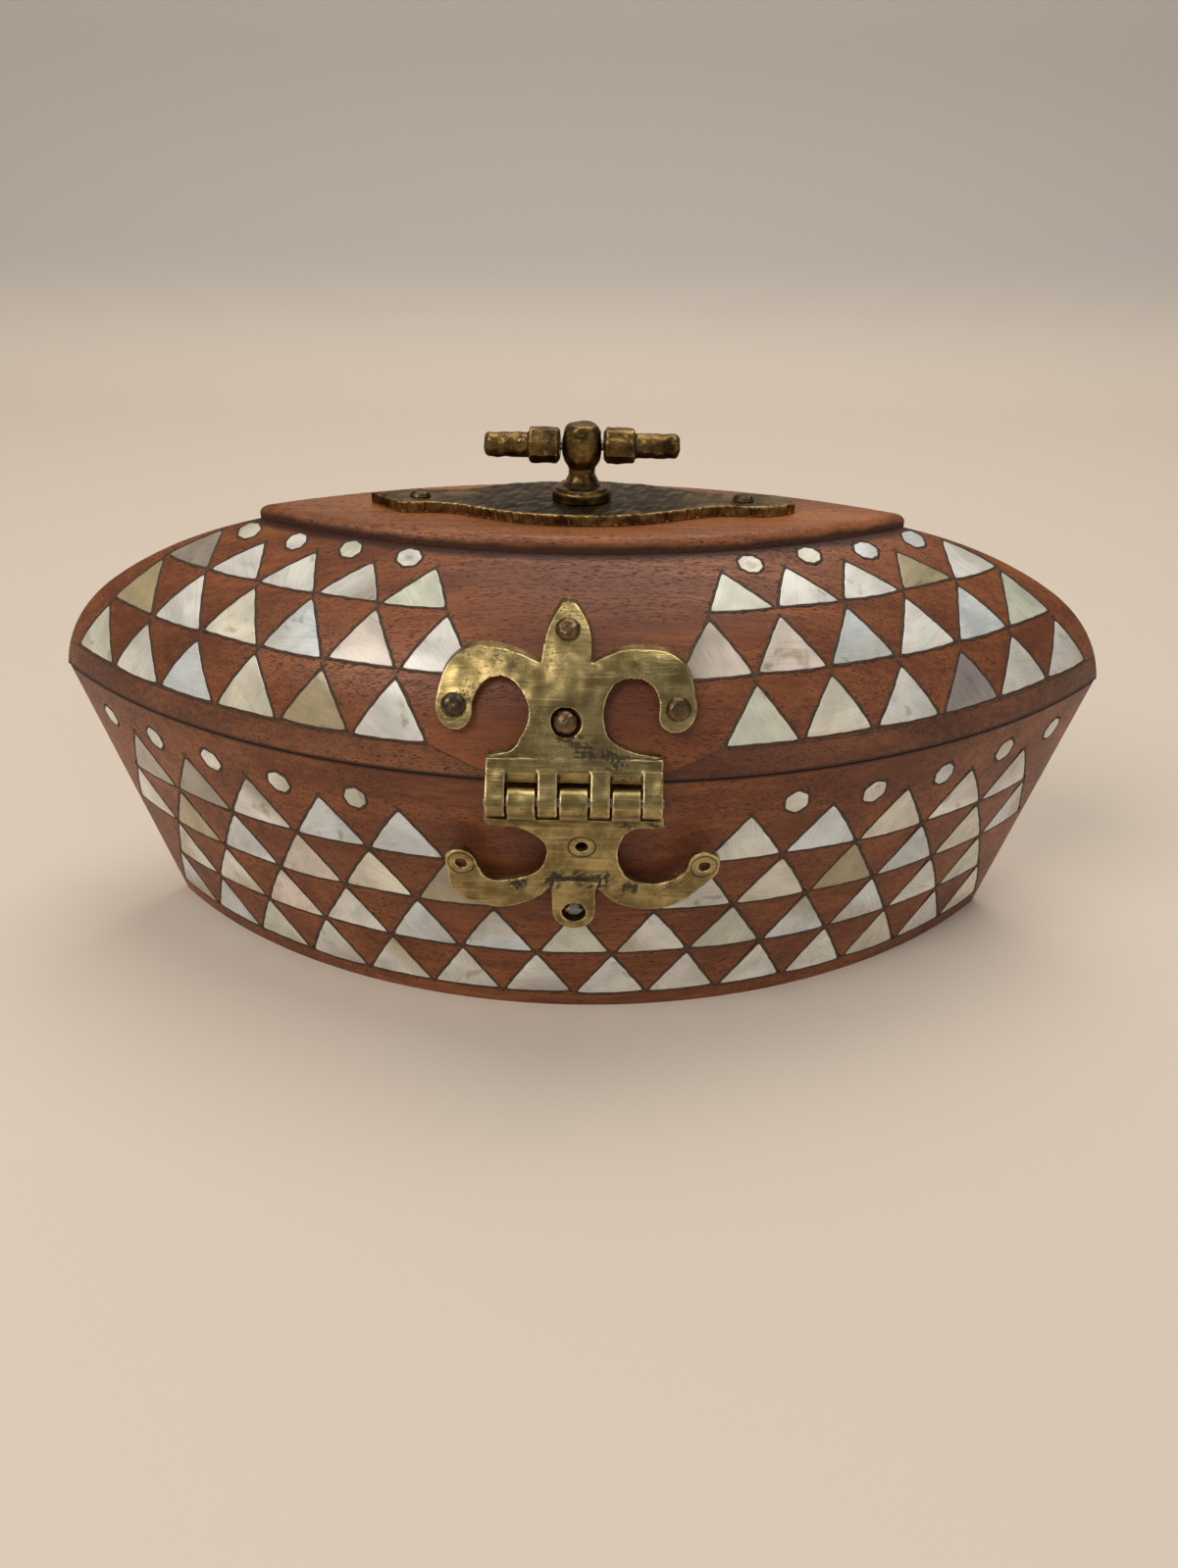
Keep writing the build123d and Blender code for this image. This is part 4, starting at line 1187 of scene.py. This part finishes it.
def makeCasting(source, cast):
    piece = softCopy(source, cast["voxel"], cast.get("blocks", []), cast.get("soften", 3))
    points, normals = readCorners(piece.data)
    wear = edgeWear(piece.data, points, normals) / (cast["voxel"] * handWork["fullWear"])
    lift = handWaves(points, cast["wave"]) * cast["uneven"] * handWork["lift"]
    if "sawn" in cast:
        upright = np.clip(1 - 1.6 * np.abs(normals[:, 2]), 0, 1)
        lift = lift + sawLines(points, handWork["sawWave"]) * cast["sawn"] * upright
    lift = lift - cast["uneven"] * handWork["sink"]
    for centre, radius in cast.get("soot", []):
        near = np.exp(-((distanceTo(points, centre) / radius) ** 2))
        broken = np.clip(0.6 + 0.6 * handWaves(points, handWork["sootWave"]), 0, 1)
        wear = wear - handWork["sootDepth"] * near * broken
    for centre, radius in cast.get("marks", []):
        ring = (distanceTo(points, centre) - radius) / handWork["markWidth"]
        ring = np.exp(-(ring**2))
        lift = lift - handWork["markDepth"] * ring
        wear = wear - handWork["markWear"] * ring
    points = points + normals * lift[:, None]
    for centre, reach, growth in cast.get("swell", []):
        near = np.clip((reach - distanceTo(points, centre)) / handWork["swellFade"], 0, 1)
        points = points + (points - np.array(centre)) * (near * (growth - 1))[:, None]
    if "turned" in cast:
        points[:, :2] *= np.interp(points[:, 2], *cast["turned"])[:, None]
        above = np.clip((points[:, 2] - ballHeight) / handWork["crownReach"], 0, 1)
        points[:, 2] -= handWork["crownDrop"] * above
    if "tip" in cast:
        points = pointTip(points, *cast["tip"])
    if "hinge" in cast:
        points = wanderOutline(points, cast)
    if "blunt" in cast:
        # the leaf's needle point is worn back down the lid's slope
        over = handWork["bluntShare"] * np.clip(points[:, 2] - cast["blunt"], 0, None)
        points = points - over[:, None] * np.array([0.0, handWork["bluntSlope"], 1.0])
    if "askew" in cast:
        points = setAskew(points, *cast["askew"])
    piece.data.vertices.foreach_set("co", (points * millimetre).astype(np.float32).ravel())
    piece.data.update()
    addAttribute(piece, "wear", "FLOAT", np.clip(wear, -1, 1))
    if "tip" in cast:
        addAttribute(piece, "crust", "FLOAT", crustOf(piece, points, normals, cast["voxel"]))
    dress(piece, cast["material"], bodyOf[source], [source])
    return piece


for source, cast in castings.items():
    piece = makeCasting(source, cast)
    print(source, "cast with", len(piece.data.vertices), "corners")

# The frame's own pieces that keep their shape
keptPieces = [
    (baseWood, ["bottom_board", "base_front_wall", "base_back_wall"]),
    (lidWood, ["lid_front_side", "lid_back_side"]),
    (boardWood, ["lid_top_board"]),
    (stripWood, ["lid_rim_strips"]),
    (ironMetal, ["bottom_nails"]),
    (steelMetal, ["hasp_pin", "hinge_pin", "handle_pin"]),
    (handleBrass, ["post_washer"]),
]
for material, names in keptPieces:
    for name in names:
        cadNodes[name].data.materials.clear()
        cadNodes[name].data.materials.append(material)


# Floor that rises into a backdrop behind the box
studio = {
    "floor": (0.80, 0.70, 0.60, 1),
    "backdrop": (0.58, 0.54, 0.50, 1),
    "behind": 620.0,
    "half": 2600.0,
    "front": -1500.0,
    "bend": 240.0,
    "top": 1800.0,
    "gap": 0.05,
}


def makeBackdrop():
    # a line from front to back, a quarter circle up and a line to the top, carried along X
    bend, wall = studio["bend"], studio["behind"] + studio["bend"]
    turn = np.linspace(0, math.pi / 2, 16)
    y = np.concatenate([[studio["front"]], studio["behind"] + bend * np.sin(turn), [wall]])
    z = np.concatenate([[0.0], bend * (1 - np.cos(turn)), [studio["top"]]]) - studio["gap"]
    x = np.linspace(-studio["half"], studio["half"], 3)
    grid = np.stack(np.broadcast_arrays(x[:, None], y[None, :], z[None, :]), -1)
    column, row = np.meshgrid(np.arange(len(x) - 1), np.arange(len(y) - 1), indexing="ij")
    corner = column * len(y) + row
    quads = np.stack([corner, corner + len(y), corner + len(y) + 1, corner + 1], -1)
    return makeMesh("backdrop", grid, quads.reshape(-1, 4))


def makeBackdropMaterial():
    material, tree, shader = newMaterial("pale backdrop")
    share = remap(tree, heightOf(tree, objectPoint(tree)), 0.0, 0.10)
    colour = mixColour(tree, share, studio["floor"], studio["backdrop"])
    plug(tree, colour, shader.inputs["Base Color"])
    shader.inputs["Roughness"].default_value = 0.9
    shader.inputs["Specular IOR Level"].default_value = 0.1
    return material


backdrop = makeBackdrop()
backdrop.data.materials.append(makeBackdropMaterial())

lamps = {
    "key": {"place": (-0.75, -0.75, 1.15), "size": 0.7, "power": 8.6, "colour": (1.0, 0.93, 0.85)},
    "top": {"place": (0.15, 0.35, 1.25), "size": 0.9, "power": 7.2, "colour": (1.0, 0.95, 0.88)},
    "fill": {"place": (0.95, -0.9, 0.55), "size": 1.0, "power": 1.5, "colour": (0.95, 0.97, 1.0)},
}
for name, lamp in lamps.items():
    light = bpy.data.lights.new(name, "AREA")
    light.energy = lamp["power"]
    light.size = lamp["size"]
    light.color = lamp["colour"]
    holder = bpy.data.objects.new(name, light)
    bpy.context.scene.collection.objects.link(holder)
    place = np.array(lamp["place"])
    aim = unit(np.array([0.0, 0.0, 0.05]) - place)
    pitch = math.acos(-aim[2])
    holder.location = place.tolist()
    holder.rotation_euler = (pitch, 0.0, math.atan2(-aim[0], aim[1]))

world = bpy.data.worlds.new("studio air")
world.use_nodes = True
world.node_tree.nodes["Background"].inputs["Color"].default_value = (0.93, 0.92, 0.90, 1)
world.node_tree.nodes["Background"].inputs["Strength"].default_value = 0.27
bpy.context.scene.world = world

# Camera at the photograph's viewing angle
view = {
    "place": (0.006155, -0.3166, 0.2114),
    "pitch": 28.88,
    "pan": -0.011,
    "roll": 0.011,
    "sensor": 36.0,
    "lens": 29.04,
}
camera = bpy.data.cameras.new("camera")
camera.sensor_fit = "VERTICAL"
camera.sensor_height = view["sensor"]
camera.lens = view["lens"]
camera.clip_start = 0.01
cameraHolder = bpy.data.objects.new("camera", camera)
bpy.context.scene.collection.objects.link(cameraHolder)
cameraHolder.location = view["place"]
cameraHolder.rotation_euler = (math.radians(90 - view["pitch"]), 0.0, -view["pan"])
cameraHolder.rotation_euler.rotate_axis("Z", view["roll"])
bpy.context.scene.camera = cameraHolder
bpy.context.scene.view_settings.view_transform = "Standard"
print("stage, lamps and camera set")
